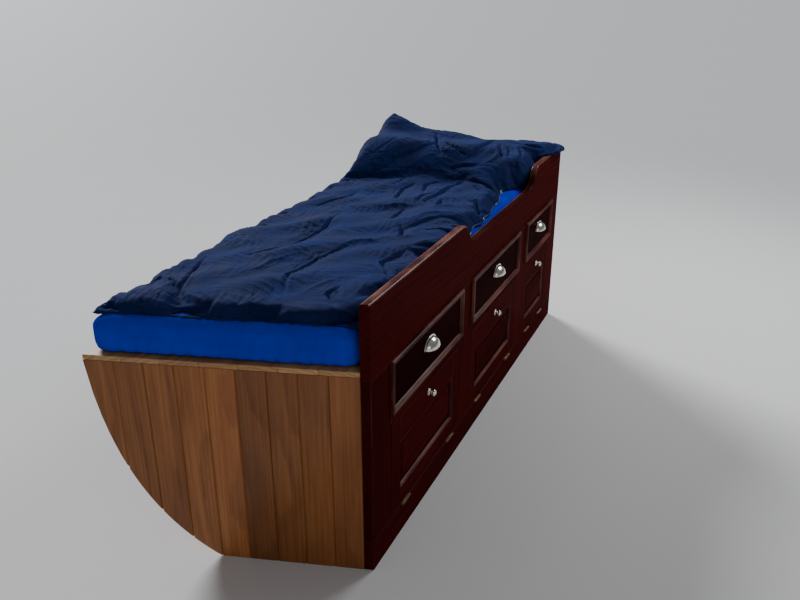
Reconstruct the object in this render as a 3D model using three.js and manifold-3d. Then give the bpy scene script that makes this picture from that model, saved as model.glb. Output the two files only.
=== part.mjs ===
// A fitted berth from the fore cabin of a wooden ketch: a mahogany front with three drawers above three
// falling flaps, a scooped leeboard, partitions cut to the hull's curve, a mattress and a duvet.
// Millimetres, +Z up. x runs forward along the front, y outboard from the front's face, z up from the sole.
import * as THREE from "three";
import { mergeVertices } from "three/addons/utils/BufferGeometryUtils.js";
import Module from "manifold-3d";

const wasm = await Module();
wasm.setup();

// The berth as a whole
const berthDepth = 730; // front face to the hull lining at the level of the mattress
const footDepth = 420; // front face to the hull at the sole
const bulkheadSkew = Math.tan(THREE.MathUtils.degToRad(16)); // the front is 16 degrees off the centreline
const fitGap = 0.3; // between pieces that touch
const runGap = 0.5; // under a drawer that rides on its runners

// The face frame
const frameThick = 26;
const endStile = 120;
const midStile = 105;
const plinthTop = 95; // also the foot of the flap openings
const flapTop = 400;
const drawerFoot = 435;
const frameTop = 590; // where the leeboard starts
const lowEdge = 724; // the scooped part of the leeboard
const shoulderTop = 800;
const scoop = { aftTop: 690, aftFoot: 780, foreFoot: 1440, foreTop: 1535 };
const ogee = { round: 34, hollow: 30, lean: 20, lift: 10 }; // how far each curve's handles reach
const boardEase = 7; // the leeboard's rounded edges

// From aft to forward, each bay's opening in the face frame
const bays = [
  { name: "aft", width: 540 },
  { name: "middle", width: 540 },
  { name: "fore", width: 387 },
];
let along = endStile;
for (const bay of bays) {
  bay.start = along;
  bay.end = along + bay.width;
  along = bay.end + midStile;
}
const frontLength = bays.at(-1).end + endStile;

// The carcase behind the front
const panelThick = 18;
const bedLevel = 600; // tops of partitions and bearers
const boardThick = 15;
const boardGap = 2; // between the berth boards
const floorThick = 18;
const bearer = { front: 24, hull: 40, tall: 45 };
const runner = { wide: 50, under: 20, tall: 20, back: 390 };
const backRail = 25;
const sill = { front: 375, thick: 30 };

// The drawers
const drawer = { gap: 5, front: 20, side: 12, bottom: 6, wallTop: 548, back: 372, inset: 8 };
const rim = { out: 4, wide: 18, proud: 10, off: 0.5, soft: 3 }; // the moulding planted round its front
const drawerFace = -1;
const cup = { halfWidth: 42, reach: 28, rise: 30, wall: 2.4, plate: 2, lip: 4 };
const cupHeight = 516; // the mouth of the cup pull

// The flaps
const flap = { gap: 5, footGap: 3, thick: 22, ease: 2, stile: 56, topRail: 84, footRail: 58 };
const panel = { tongue: 6, field: 5, slope: 20, front: 4 };
const knobHeight = 362;
const hinge = { radius: 4, long: 56, inset: 90, leafDeep: 18 };
const hingeAxis = { y: -(hinge.radius + 0.4), z: plinthTop + 1.5 };

// The bedding
const mattress = { front: 30, back: 724, end: 6, thick: 95, corner: 40, edge: 10 };
const mattressFoot = bedLevel + boardThick + fitGap;
const mattressTop = mattressFoot + mattress.thick;
const duvet = {
  aftEnd: 45, // bare mattress at the aft end
  foreEnd: 8,
  front: 31,
  back: 725,
  thick: 44,
  edgeRound: 45,
  hullRound: 24, // the same against the hull
  leastEdge: 0.35, // of the full thickness, right at the edge
  leastTall: 10,
  roll: 20, // how much taller the edge is where it hangs over the shoulder
  cells: [80, 28],
  flatness: 0.5, // faces closer to level than this are merged
};
const duvetHem = {
  // along the scoop the front edge lies back from the leeboard: how far along, and how far in
  line: [
    [700, 31],
    [760, 41],
    [881, 50],
    [1011, 57],
    [1196, 76],
    [1313, 84],
    [1374, 99],
    [1442, 128],
    [1481, 101],
    [1519, 48],
    [1530, 31],
  ],
  climbs: 1690, // where it starts to climb over the leeboard
  hangs: 1780,
  overhang: -27,
  restDeep: 80, // how far inboard of the leeboard it still lies on its shoulder
};
const pile = { from: 560, full: 260, front: 69, hull: 60 }; // the first two from the fore end
const heap = { tall: 64, wide: 88 }; // in the hull corner
// The filling's soft waves are products of two sines: radians per metre along and across, and a start
const waves = [
  { tall: 6, sines: [[18.2, 18.2, 0], [4.2, -8.3, 0]] },
  { tall: 4, sines: [[11, -19, 1.3]] },
  { tall: 3.5, sines: [[31, 12, 2.1], [7, 17, 0.4]] },
];
// The cover's main creases: furrows between two low shoulders, which die out at both ends
const furrow = { shoulder: 0.45, shoulderAt: 2.2, shoulderWide: 1.3, reach: 5, end: 0.06 };
const creases = [
  { deep: 8, wide: 18, line: [[1080, 276], [1155, 271], [1226, 269], [1344, 268], [1430, 249]] },
  { deep: 7, wide: 18, line: [[1200, 321], [1332, 359], [1388, 343], [1425, 290], [1446, 244]] },
  { deep: 7, wide: 18, line: [[1091, 381], [1172, 401], [1262, 418], [1325, 398]] },
  { deep: 7, wide: 18, line: [[1306, 466], [1389, 459], [1448, 427], [1500, 380]] },
  { deep: 9, wide: 20, line: [[1430, 600], [1515, 545], [1560, 490], [1630, 440]] },
  { deep: 9, wide: 19, line: [[1806, 491], [1700, 450], [1625, 423], [1560, 385]] },
  { deep: 9, wide: 19, line: [[1530, 290], [1573, 264], [1633, 255], [1701, 247], [1790, 250]] },
  { deep: 8, wide: 24, line: [[780, 330], [836, 270], [885, 225], [925, 150], [940, 90]] },
  { deep: 7, wide: 20, line: [[600, 200], [702, 224], [775, 234]] },
  { deep: 7, wide: 26, line: [[420, 520], [560, 470], [720, 455], [880, 480]] },
  { deep: 7, wide: 26, line: [[180, 300], [300, 350], [430, 340], [540, 300]] },
  { deep: 6, wide: 22, line: [[980, 600], [1080, 560], [1190, 560]] },
  { deep: 6, wide: 24, line: [[150, 560], [260, 600], [400, 640]] },
];

const colours = {
  mahogany: [0x5a2018, 0.35, 0],
  pine: [0xb98a55, 0.6, 0],
  brass: [0xc9b27a, 0.25, 1],
  sheet: [0x0a4fd8, 0.9, 0],
  navy: [0x1b2f5c, 0.9, 0],
};
const materials = {};
for (const [name, [color, roughness, metalness]] of Object.entries(colours))
  materials[name] = new THREE.MeshStandardMaterial({ name, color, roughness, metalness });

const berth = new THREE.Group();
berth.name = "fitted_berth";

function add(name, material, geometry) {
  const mesh = new THREE.Mesh(geometry, materials[material]);
  mesh.name = name;
  berth.add(mesh);
}

// Between three.js geometry and a solid that can be joined and cut
function solid(geometry) {
  const bare = geometry.clone();
  bare.deleteAttribute("normal");
  bare.deleteAttribute("uv");
  const merged = mergeVertices(bare, 1e-3);
  const mesh = new wasm.Mesh({
    numProp: 3,
    vertProperties: merged.attributes.position.array,
    triVerts: new Uint32Array(merged.index.array),
  });
  return new wasm.Manifold(mesh);
}

function geometryOf(body) {
  const { numVert, numProp, vertProperties, triVerts } = body.getMesh();
  const points = new Float32Array(numVert * 3);
  for (let i = 0; i < numVert; i++)
    points.set(vertProperties.subarray(i * numProp, i * numProp + 3), i * 3);
  const geometry = new THREE.BufferGeometry();
  geometry.setAttribute("position", new THREE.BufferAttribute(points, 3));
  geometry.setIndex(new THREE.BufferAttribute(triVerts, 1));
  return geometry;
}

// A box from its low and high limits along each axis
function box([x0, x1], [y0, y1], [z0, z1]) {
  const geometry = new THREE.BoxGeometry(x1 - x0, y1 - y0, z1 - z0);
  return geometry.translate((x0 + x1) / 2, (y0 + y1) / 2, (z0 + z1) / 2);
}

// A shape drawn in plan, extruded upwards
function standing(shape, [z0, z1], bevel = {}) {
  const options = { depth: z1 - z0, bevelEnabled: false, curveSegments: 6, ...bevel };
  return new THREE.ExtrudeGeometry(shape, options).translate(0, 0, z0);
}

// A shape drawn on the front as x and z, extruded from y0 outboard to y1
function frontal(shape, [y0, y1], bevel = {}) {
  const options = { depth: y1 - y0, bevelEnabled: false, curveSegments: 8, ...bevel };
  return new THREE.ExtrudeGeometry(shape, options).rotateX(Math.PI / 2).translate(0, y1, 0);
}

// A bevel that takes its width off the shape's own outline, and adds it at both ends
function eased(thick, segments, size = thick) {
  return {
    bevelEnabled: true,
    bevelThickness: thick,
    bevelSize: size,
    bevelOffset: -size,
    bevelSegments: segments,
  };
}

function rectangle(x0, x1, z0, z1) {
  const shape = new THREE.Shape();
  shape.moveTo(x0, z0).lineTo(x1, z0).lineTo(x1, z1).lineTo(x0, z1).closePath();
  return shape;
}

function framed(outer, inner) {
  const shape = rectangle(...outer);
  shape.holes.push(rectangle(...inner));
  return shape;
}

// Everything stands between two bulkheads that cross the front askew, and inboard of the hull's curve.
const slant = new THREE.Matrix4().makeShear(0, 0, -bulkheadSkew, 0, 0, 0);
const wayOut = 400; // past the front and above the bed, where nothing bounds the berth
const hullBulge = { y: 690, z: 170 };

function cabinSpace(endInset, hullInset) {
  const section = new THREE.Shape();
  section.moveTo(-wayOut, 0);
  section.lineTo(footDepth - hullInset, 0);
  section.quadraticCurveTo(
    hullBulge.y - hullInset,
    hullBulge.z,
    berthDepth - hullInset,
    bedLevel,
  );
  section.lineTo(berthDepth - hullInset, bedLevel + wayOut);
  section.lineTo(-wayOut, bedLevel + wayOut);
  section.closePath();
  const prism = new THREE.ExtrudeGeometry(section, {
    depth: frontLength - 2 * endInset,
    bevelEnabled: false,
    curveSegments: 10,
  });
  const turned = new THREE.Matrix4().makeBasis(
    new THREE.Vector3(0, 1, 0),
    new THREE.Vector3(0, 0, 1),
    new THREE.Vector3(1, 0, 0),
  );
  prism.applyMatrix4(turned).translate(endInset, 0, 0).applyMatrix4(slant);
  return solid(prism);
}

const endPanelWide = panelThick / Math.cos(Math.atan(bulkheadSkew));
const space = cabinSpace(0, 0);
const betweenEnds = cabinSpace(endPanelWide + fitGap, 0);
const longRun = [-wayOut, frontLength + wayOut];

function trimmed(geometry, within = space) {
  return solid(geometry).intersect(within);
}

// The leeboard: high at both ends, with ogees down to the low edge between them
function leeboard() {
  const outline = new THREE.Shape();
  const { aftTop, aftFoot, foreFoot, foreTop } = scoop;
  const { round, hollow, lean, lift } = ogee;
  const below = frameTop - round;
  outline.moveTo(longRun[0], below);
  outline.lineTo(longRun[1], below);
  outline.lineTo(longRun[1], shoulderTop);
  outline.lineTo(foreTop + round, shoulderTop);
  outline.bezierCurveTo(
    foreTop - hollow,
    shoulderTop,
    foreTop - lean,
    lowEdge + round,
    foreFoot + hollow,
    lowEdge + lift,
  );
  outline.quadraticCurveTo(foreFoot + lift, lowEdge, foreFoot - lean, lowEdge);
  outline.lineTo(aftFoot + lean, lowEdge);
  outline.quadraticCurveTo(aftFoot - lift, lowEdge, aftFoot - hollow, lowEdge + lift);
  outline.bezierCurveTo(
    aftTop + lean,
    lowEdge + round,
    aftTop + hollow,
    shoulderTop,
    aftTop - round,
    shoulderTop,
  );
  outline.lineTo(longRun[0], shoulderTop);
  const deep = [boardEase, frameThick - boardEase];
  const long = frontal(outline, deep, eased(boardEase, 2));
  const above = box(longRun, [-wayOut, wayOut], [frameTop, shoulderTop + wayOut]);
  return trimmed(long).intersect(solid(above));
}

// The face frame: plinth, four stiles and a rail between each flap and its drawer
function faceFrame() {
  const thick = [0, frameThick];
  add("leeboard", "mahogany", geometryOf(leeboard()));
  add("plinth_rail", "mahogany", geometryOf(trimmed(box(longRun, thick, [0, plinthTop]))));
  const stiles = [
    ["stile_aft", -wayOut, bays[0].start],
    ["stile_aft_middle", bays[0].end, bays[1].start],
    ["stile_middle_fore", bays[1].end, bays[2].start],
    ["stile_fore", bays[2].end, frontLength + wayOut],
  ];
  for (const [name, x0, x1] of stiles) {
    const upright = box([x0, x1], thick, [plinthTop + fitGap, frameTop - fitGap]);
    add(name, "mahogany", geometryOf(trimmed(upright)));
  }
  for (const { name, start, end } of bays) {
    const rail = box([start + fitGap, end - fitGap], thick, [flapTop, drawerFoot]);
    add("rail_" + name, "mahogany", rail);
  }
}

// The carcase: ends against the bulkheads, partitions, floor, sill, bearers and the drawers' back rail
function carcase() {
  const behindFront = frameThick + fitGap;
  const bearerFront = [behindFront, behindFront + bearer.front];
  const bearerHull = [berthDepth - bearer.hull, berthDepth];
  const bearerTall = [bedLevel - bearer.tall, bedLevel];
  const railDeep = [runner.back, runner.back + backRail];
  const railTall = [drawerFoot - runner.tall, drawerFoot];
  const long = {
    front_bearer: ["pine", bearerFront, bearerTall],
    hull_bearer: ["pine", bearerHull, bearerTall],
    back_rail: ["pine", railDeep, railTall],
    back_sill: ["pine", [sill.front, sill.front + sill.thick], [0, plinthTop - floorThick - fitGap]],
    floor_board: ["pine", [behindFront, berthDepth], [plinthTop - floorThick, plinthTop]],
  };
  for (const [name, [material, deep, tall]] of Object.entries(long))
    add(name, material, geometryOf(trimmed(box(longRun, deep, tall), betweenEnds)));

  const belowBed = box(longRun, [behindFront, berthDepth], [0, bedLevel - fitGap]);
  const ends = trimmed(belowBed).subtract(cabinSpace(endPanelWide, -endPanelWide));
  for (const end of ends.decompose())
    add(end.boundingBox().min[0] < 0 ? "end_panel_aft" : "end_panel_fore", "pine", geometryOf(end));

  // A partition stands behind each middle stile and is notched round the bearers and the back rail
  const loose = ([low, high]) => [low - fitGap, high + fitGap];
  const notches = [
    solid(box(longRun, [0, bearerFront[1] + fitGap], loose(bearerTall))),
    solid(box(longRun, [bearerHull[0] - fitGap, berthDepth + wayOut], loose(bearerTall))),
    solid(box(longRun, loose(railDeep), loose(railTall))),
  ];
  for (const [i, name] of ["partition_aft", "partition_fore"].entries()) {
    const centre = (bays[i].end + bays[i + 1].start) / 2;
    const wide = [centre - panelThick / 2, centre + panelThick / 2];
    let board = trimmed(box(wide, [behindFront, berthDepth], [plinthTop + fitGap, bedLevel - fitGap]));
    for (const notch of notches) board = board.subtract(notch);
    add(name, "pine", geometryOf(board));
  }

  for (const { name, start, end } of bays) {
    const sides = {
      aft: [start - runner.wide + runner.under, start + runner.under],
      fore: [end - runner.under, end + runner.wide - runner.under],
    };
    for (const [side, wide] of Object.entries(sides)) {
      const bar = box(wide, [behindFront, runner.back - fitGap], railTall);
      add("runner_" + name + "_" + side, "pine", geometryOf(trimmed(bar, betweenEnds)));
    }
  }
}

// Three boards carry the mattress; they meet over the partitions
function berthBoards() {
  const joints = [0, 1].map((i) => (bays[i].end + bays[i + 1].start) / 2);
  const cuts = [longRun[0], ...joints, longRun[1]];
  for (const [i, { name }] of bays.entries()) {
    const wide = [cuts[i] + boardGap / 2, cuts[i + 1] - boardGap / 2];
    const level = [bedLevel + fitGap, bedLevel + boardThick];
    const board = box(wide, [frameThick + fitGap, berthDepth], level);
    add("berth_board_" + name, "pine", geometryOf(trimmed(board)));
  }
}

// A cup pull: a hollow quarter of an egg on a plate, open below for the fingers
function cupPull(centre) {
  const half = (width, reach, rise) => new THREE.SphereGeometry(1, 24, 14).scale(width, reach, rise);
  const outer = solid(half(cup.halfWidth, cup.reach, cup.rise));
  const wall = cup.wall;
  const inner = solid(half(cup.halfWidth - wall, cup.reach - wall, cup.rise - wall));
  const keep = solid(box([-wayOut, wayOut], [-wayOut, 0], [0, wayOut]));
  const outline = new THREE.Shape();
  outline.absellipse(0, 0, cup.halfWidth + cup.lip, cup.rise + cup.lip, 0, Math.PI);
  outline.closePath();
  const plate = solid(frontal(outline, [-cup.plate, 0], { curveSegments: 16 }));
  return outer.subtract(inner).intersect(keep).add(plate).translate(centre, drawerFace - fitGap, cupHeight);
}

// Each drawer: a front with a raised rim, an open box behind it and a cup pull
function drawers() {
  for (const { name, start, end } of bays) {
    const wide = [start + drawer.gap, end - drawer.gap];
    const tall = [drawerFoot + drawer.gap, frameTop - drawer.gap];
    const slab = solid(box(wide, [drawerFace, drawer.front], tall));
    const edge = [start - rim.out, end + rim.out, drawerFoot - rim.out, frameTop + rim.out];
    const inside = [
      edge[0] + rim.wide,
      edge[1] - rim.wide,
      edge[2] + rim.wide,
      edge[3] - rim.wide,
    ];
    const deep = [-rim.proud + rim.soft, -rim.off - rim.soft];
    const moulding = frontal(framed(edge, inside), deep, eased(rim.soft, 2));
    add("drawer_front_" + name, "mahogany", geometryOf(slab.add(solid(moulding))));

    const boxWide = [start + drawer.inset, end - drawer.inset];
    const boxDeep = [drawer.front + fitGap, drawer.back];
    const boxTall = [drawerFoot + runGap, drawer.wallTop];
    const hollow = box(
      [boxWide[0] + drawer.side, boxWide[1] - drawer.side],
      [boxDeep[0] + drawer.side, boxDeep[1] - drawer.side],
      [boxTall[0] + drawer.bottom, drawer.wallTop + wayOut],
    );
    const tray = solid(box(boxWide, boxDeep, boxTall)).subtract(solid(hollow));
    add("drawer_box_" + name, "pine", geometryOf(tray));
    add("cup_pull_" + name, "brass", geometryOf(cupPull((start + end) / 2)));
  }
}

// Each flap: a frame round a raised panel, hinged along its foot, with a knob on its top rail
function flaps() {
  for (const { name, start, end } of bays) {
    const outer = [start + flap.gap, end - flap.gap, plinthTop + flap.footGap, flapTop - flap.gap];
    const inner = [
      outer[0] + flap.stile,
      outer[1] - flap.stile,
      outer[2] + flap.footRail,
      outer[3] - flap.topRail,
    ];
    const deep = [flap.ease, flap.thick - flap.ease];
    add("flap_frame_" + name, "mahogany", frontal(framed(outer, inner), deep, eased(flap.ease, 1)));

    const tight = [inner[0] + fitGap, inner[1] - fitGap, inner[2] + fitGap, inner[3] - fitGap];
    const face = panel.front + panel.field;
    const fielded = eased(panel.field, 1, panel.slope);
    const raised = frontal(rectangle(...tight), [face, face + panel.tongue], fielded);
    add("flap_panel_" + name, "mahogany", raised);
    add("flap_knob_" + name, "brass", knob((start + end) / 2));
    for (const [i, at] of [start + hinge.inset, end - hinge.inset].entries())
      add("hinge_" + name + "_" + (i ? "fore" : "aft"), "brass", geometryOf(hingeAt(at)));
  }
}

// A turned knob on a rose, pointing inboard
function knob(centre) {
  const profile = [
    [0, 0],
    [11, 0],
    [11, 1.5],
    [5, 3],
    [4.5, 8],
    [9, 13],
    [10.5, 17],
    [8.5, 21],
    [4, 23],
    [0, 23.5],
  ].map(([r, h]) => new THREE.Vector2(r, h));
  const turned = new THREE.LatheGeometry(profile, 20).rotateX(Math.PI);
  return turned.translate(centre, -fitGap, knobHeight);
}

// A butt hinge: its knuckle stands in front of the joint, its leaves lie on the plinth under the flap
function hingeAt(centre) {
  const knuckle = new THREE.CylinderGeometry(hinge.radius, hinge.radius, hinge.long, 16);
  knuckle.rotateZ(Math.PI / 2).translate(centre, hingeAxis.y, hingeAxis.z);
  const leaves = box(
    [centre - hinge.long / 2, centre + hinge.long / 2],
    [hingeAxis.y, hinge.leafDeep],
    [plinthTop + fitGap, plinthTop + flap.footGap - fitGap],
  );
  return solid(knuckle).add(solid(leaves));
}

// The mattress fills the well between the bulkheads
function mattressPad() {
  const { front, back, end, corner, edge } = mattress;
  const plan = new THREE.Shape();
  const x0 = end + corner;
  const x1 = frontLength - end - corner;
  plan.moveTo(x0, front);
  plan.lineTo(x1, front);
  plan.quadraticCurveTo(x1 + corner, front, x1 + corner, front + corner);
  plan.lineTo(x1 + corner, back - corner);
  plan.quadraticCurveTo(x1 + corner, back, x1, back);
  plan.lineTo(x0, back);
  plan.quadraticCurveTo(x0 - corner, back, x0 - corner, back - corner);
  plan.lineTo(x0 - corner, front + corner);
  plan.quadraticCurveTo(x0 - corner, front, x0, front);
  const pad = standing(plan, [mattressFoot + edge, mattressTop - edge], eased(edge, 2));
  add("mattress", "sheet", pad.applyMatrix4(slant));
}

const smooth = (low, high, value) => THREE.MathUtils.smoothstep(value, low, high);

// The duvet's front edge: it leaves a sliver of sheet bare along the scoop and climbs over the fore shoulder
function duvetFront(x) {
  const { line, climbs, hangs, overhang } = duvetHem;
  const next = line.findIndex(([along]) => x < along);
  if (next === 0) return duvet.front;
  if (next < 0) return duvet.front + (overhang - duvet.front) * smooth(climbs, hangs, x);
  const [x0, y0] = line[next - 1];
  const [x1, y1] = line[next];
  return y0 + (y1 - y0) * smooth(x0, x1, x);
}

// How far a place lies from a crease, and how far along the crease that is, from 0 to 1
function fromLine(x, y, line) {
  let nearest = { away: Infinity, along: 0 };
  for (let i = 1; i < line.length; i++) {
    const [x0, y0] = line[i - 1];
    const [dx, dy] = [line[i][0] - x0, line[i][1] - y0];
    const t = THREE.MathUtils.clamp(((x - x0) * dx + (y - y0) * dy) / (dx * dx + dy * dy), 0, 1);
    const away = Math.hypot(x - x0 - t * dx, y - y0 - t * dy);
    if (away < nearest.away) nearest = { away, along: (i - 1 + t) / (line.length - 1) };
  }
  return nearest;
}

function creased(x, y) {
  const { shoulder, shoulderAt, shoulderWide, reach, end } = furrow;
  let fall = 0;
  for (const { deep, wide, line } of creases) {
    const { away, along } = fromLine(x, y, line);
    if (away > reach * wide) continue;
    const near = away / wide;
    const ends = Math.sqrt(Math.sin(Math.PI * THREE.MathUtils.clamp(along, end, 1 - end)));
    const rise = shoulder * Math.exp(-((near - shoulderAt) ** 2) / shoulderWide);
    fall += deep * ends * (Math.exp(-near * near) - rise);
  }
  return fall;
}

// The duvet's top: waved and creased, piled up at the fore end and most of all in the hull corner
function duvetTop(x, y) {
  const height = pile.front + (pile.hull * y) / berthDepth;
  const piled = height * smooth(frontLength - pile.from, frontLength - pile.full, x);
  const fromCorner = Math.hypot(x - frontLength, y - berthDepth) / heap.wide;
  const heaped = heap.tall * Math.exp((-fromCorner * fromCorner) / 2);
  let waved = 0;
  for (const { tall, sines } of waves) {
    const turns = sines.map(([along, across, start]) => Math.sin((along * x + across * y) / 1000 + start));
    waved += turns.reduce((product, turn) => product * turn, tall);
  }
  return mattressTop + duvet.thick + piled + heaped + waved - creased(x, y);
}

// What the duvet lies on at its edge: the mattress, or the leeboard's shoulder where it has climbed over
function duvetFloor(front, y) {
  if (front > frameThick) return mattressTop;
  const onShoulder = 1 - smooth(frameThick, duvetHem.restDeep, y);
  return mattressTop + (shoulderTop - mattressTop) * onShoulder;
}

function duvetCover() {
  const { aftEnd, foreEnd, back, edgeRound, hullRound, leastEdge, leastTall, roll, cells, flatness } = duvet;
  const blanket = new THREE.BoxGeometry(1, 1, 1, ...cells, 1).translate(0.5, 0.5, 0.5);
  const spots = blanket.attributes.position;
  const long = frontLength - foreEnd - aftEnd;
  for (let i = 0; i < spots.count; i++) {
    const x = aftEnd + spots.getX(i) * long;
    const front = duvetFront(x);
    const y = front + spots.getY(i) * (back - front);
    const toEdge = Math.min(y - front, x - aftEnd, ((back - y) * edgeRound) / hullRound);
    const full = Math.max(Math.sqrt(THREE.MathUtils.clamp(toEdge / edgeRound, 0, 1)), leastEdge);
    const floor = duvetFloor(front, y);
    const least = leastTall + roll * smooth(duvetHem.climbs, duvetHem.hangs, x);
    const top = floor + Math.max((duvetTop(x, y) - floor) * full, least);
    spots.setXYZ(i, x, y, spots.getZ(i) > 0.5 ? top : mattressTop + fitGap);
  }
  const overBoard = box(longRun, [-wayOut, duvet.front - fitGap], [0, shoulderTop + 2 * fitGap]);
  const cover = solid(blanket).subtract(solid(overBoard)).simplify(flatness);
  add("duvet", "navy", geometryOf(cover).applyMatrix4(slant));
}

faceFrame();
carcase();
berthBoards();
drawers();
flaps();
mattressPad();
duvetCover();

// The origin is the middle of the berth's box, on the sole.
const reach = new THREE.Box3().setFromObject(berth);
berth.position.set(-(reach.min.x + reach.max.x) / 2, -(reach.min.y + reach.max.y) / 2, 0);

export default berth;
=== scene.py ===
import math
import random

import bmesh
import bpy
import numpy as np
from mathutils import Matrix, Vector, noise
from mathutils.bvhtree import BVHTree


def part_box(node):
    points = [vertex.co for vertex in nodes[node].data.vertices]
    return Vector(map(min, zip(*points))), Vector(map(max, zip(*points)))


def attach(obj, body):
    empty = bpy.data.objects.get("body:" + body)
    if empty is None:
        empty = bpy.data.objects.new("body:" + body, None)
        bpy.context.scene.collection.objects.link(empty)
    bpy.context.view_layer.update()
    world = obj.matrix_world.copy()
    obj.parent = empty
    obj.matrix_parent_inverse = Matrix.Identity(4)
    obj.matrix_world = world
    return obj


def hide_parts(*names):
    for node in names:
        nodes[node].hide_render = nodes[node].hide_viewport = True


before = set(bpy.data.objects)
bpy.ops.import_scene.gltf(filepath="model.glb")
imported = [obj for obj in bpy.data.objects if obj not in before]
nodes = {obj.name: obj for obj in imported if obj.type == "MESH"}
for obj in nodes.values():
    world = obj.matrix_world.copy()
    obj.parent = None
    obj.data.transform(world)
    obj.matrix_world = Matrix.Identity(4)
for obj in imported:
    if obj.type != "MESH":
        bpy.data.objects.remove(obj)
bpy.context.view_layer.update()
print("stage: frame loaded,", len(nodes), "nodes")

# What every piece of the berth is set out from. Metres; x forward, y outboard, z up.
berth = {
    "front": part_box("stile_aft_middle")[0].y,      # the face of the front
    "skew": math.tan(math.radians(16)),            # the bulkheads cross the front at 16 degrees
    "aft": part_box("plinth_rail")[1].x - 1.917,     # the front's aft corner
    "fore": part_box("plinth_rail")[1].x,
    "mattressTop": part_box("mattress")[1].z,
    "shoulder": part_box("leeboard")[1].z,
}
berthLong = berth["fore"] - berth["aft"]
berthDeep = 0.730
bays = ["aft", "middle", "fore"]
carcase = "carcase"


# A place on the unslanted berth: u runs forward from the aft bulkhead, v outboard from the front
def rowPoint(u, v, z):
    return Vector((berth["aft"] + u - v * berth["skew"], berth["front"] + v, z))


def rowPlace(x, y):
    v = y - berth["front"]
    return x - berth["aft"] + v * berth["skew"], v


# Camera: the photograph's line of sight, drawn back until the whole berth is in the frame
camera = {"lens": 36, "target": (0.02, -0.04, 0.42), "azimuth": -66, "elevation": 23, "distance": 2.9}


def linked(name, data):
    made = bpy.data.objects.new(name, data)
    bpy.context.scene.collection.objects.link(made)
    return made


def addCamera():
    turn = math.radians(camera["azimuth"])
    rise = math.radians(camera["elevation"])
    back = Vector((math.sin(turn) * math.cos(rise), -math.cos(turn) * math.cos(rise), math.sin(rise)))
    data = bpy.data.cameras.new("camera")
    data.lens = camera["lens"]
    seen = linked("camera", data)
    seen.location = Vector(camera["target"]) + back * camera["distance"]
    seen.rotation_euler = back.to_track_quat("Z", "Y").to_euler()
    bpy.context.scene.camera = seen


addCamera()


# Node trees
def nodeOf(tree, kind, **values):
    made = tree.nodes.new(kind)
    for key, value in values.items():
        if hasattr(made, key):
            setattr(made, key, value)
        else:
            made.inputs[key.replace("_", " ")].default_value = value
    return made


def feed(tree, node, **sources):
    # into a node's inputs, their names with _ for a space
    for title, source in sources.items():
        tree.links.new(source, node.inputs[title.replace("_", " ")])


def mathOf(tree, operation, first, second=None, third=None):
    made = nodeOf(tree, "ShaderNodeMath", operation=operation)
    for i, value in enumerate((first, second, third)):
        if isinstance(value, (int, float)):
            made.inputs[i].default_value = value
        elif value is not None:
            tree.links.new(value, made.inputs[i])
    return made.outputs[0]


def plus(tree, first, second):
    return mathOf(tree, "ADD", first, second)


def times(tree, first, second):
    return mathOf(tree, "MULTIPLY", first, second)


def axesOf(tree, vector):
    made = nodeOf(tree, "ShaderNodeSeparateXYZ")
    feed(tree, made, Vector=vector)
    return made.outputs[:]


def mixOf(tree, amount, first, second):
    made = nodeOf(tree, "ShaderNodeMix", data_type="RGBA")
    for socket, value in ((0, amount), (6, first), (7, second)):
        if isinstance(value, tuple):
            made.inputs[socket].default_value = value
        else:
            tree.links.new(value, made.inputs[socket])
    return made.outputs[2]


def rangeOf(tree, value, low, high, toLow=0.0, toHigh=1.0):
    made = nodeOf(tree, "ShaderNodeMapRange", interpolation_type="SMOOTHSTEP", From_Min=low, From_Max=high,
                  To_Min=toLow, To_Max=toHigh)
    feed(tree, made, Value=value)
    return made.outputs["Result"]


def noiseOf(tree, vector, scale, detail=2.0, rough=0.5, distortion=0.0):
    made = nodeOf(tree, "ShaderNodeTexNoise", Scale=scale, Detail=detail, Roughness=rough,
                  Distortion=distortion)
    feed(tree, made, Vector=vector)
    return made.outputs["Fac"]


def stretchedNoise(tree, vector, amounts, detail=1.0, rough=0.5, distortion=0.0):
    # finer along the axes with the greater amounts
    made = nodeOf(tree, "ShaderNodeVectorMath", operation="MULTIPLY")
    made.inputs[1].default_value = amounts
    tree.links.new(vector, made.inputs[0])
    return noiseOf(tree, made.outputs[0], 1.0, detail, rough, distortion)


# The kinds of a group's sockets, where they aren't plain numbers
socketKinds = {"Vector": "NodeSocketVector"}
for title in ("Dark", "Middle", "Light", "Colour", "Faded"):
    socketKinds[title] = "NodeSocketColor"


def groupOf(name, inputs, outputs):
    made = bpy.data.node_groups.new(name, "ShaderNodeTree")
    for way, titles in (("INPUT", inputs), ("OUTPUT", outputs)):
        for title in titles:
            kind = socketKinds.get(title, "NodeSocketFloat")
            made.interface.new_socket(name=title, in_out=way, socket_type=kind)
    return made, made.nodes.new("NodeGroupInput"), made.nodes.new("NodeGroupOutput")


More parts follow.
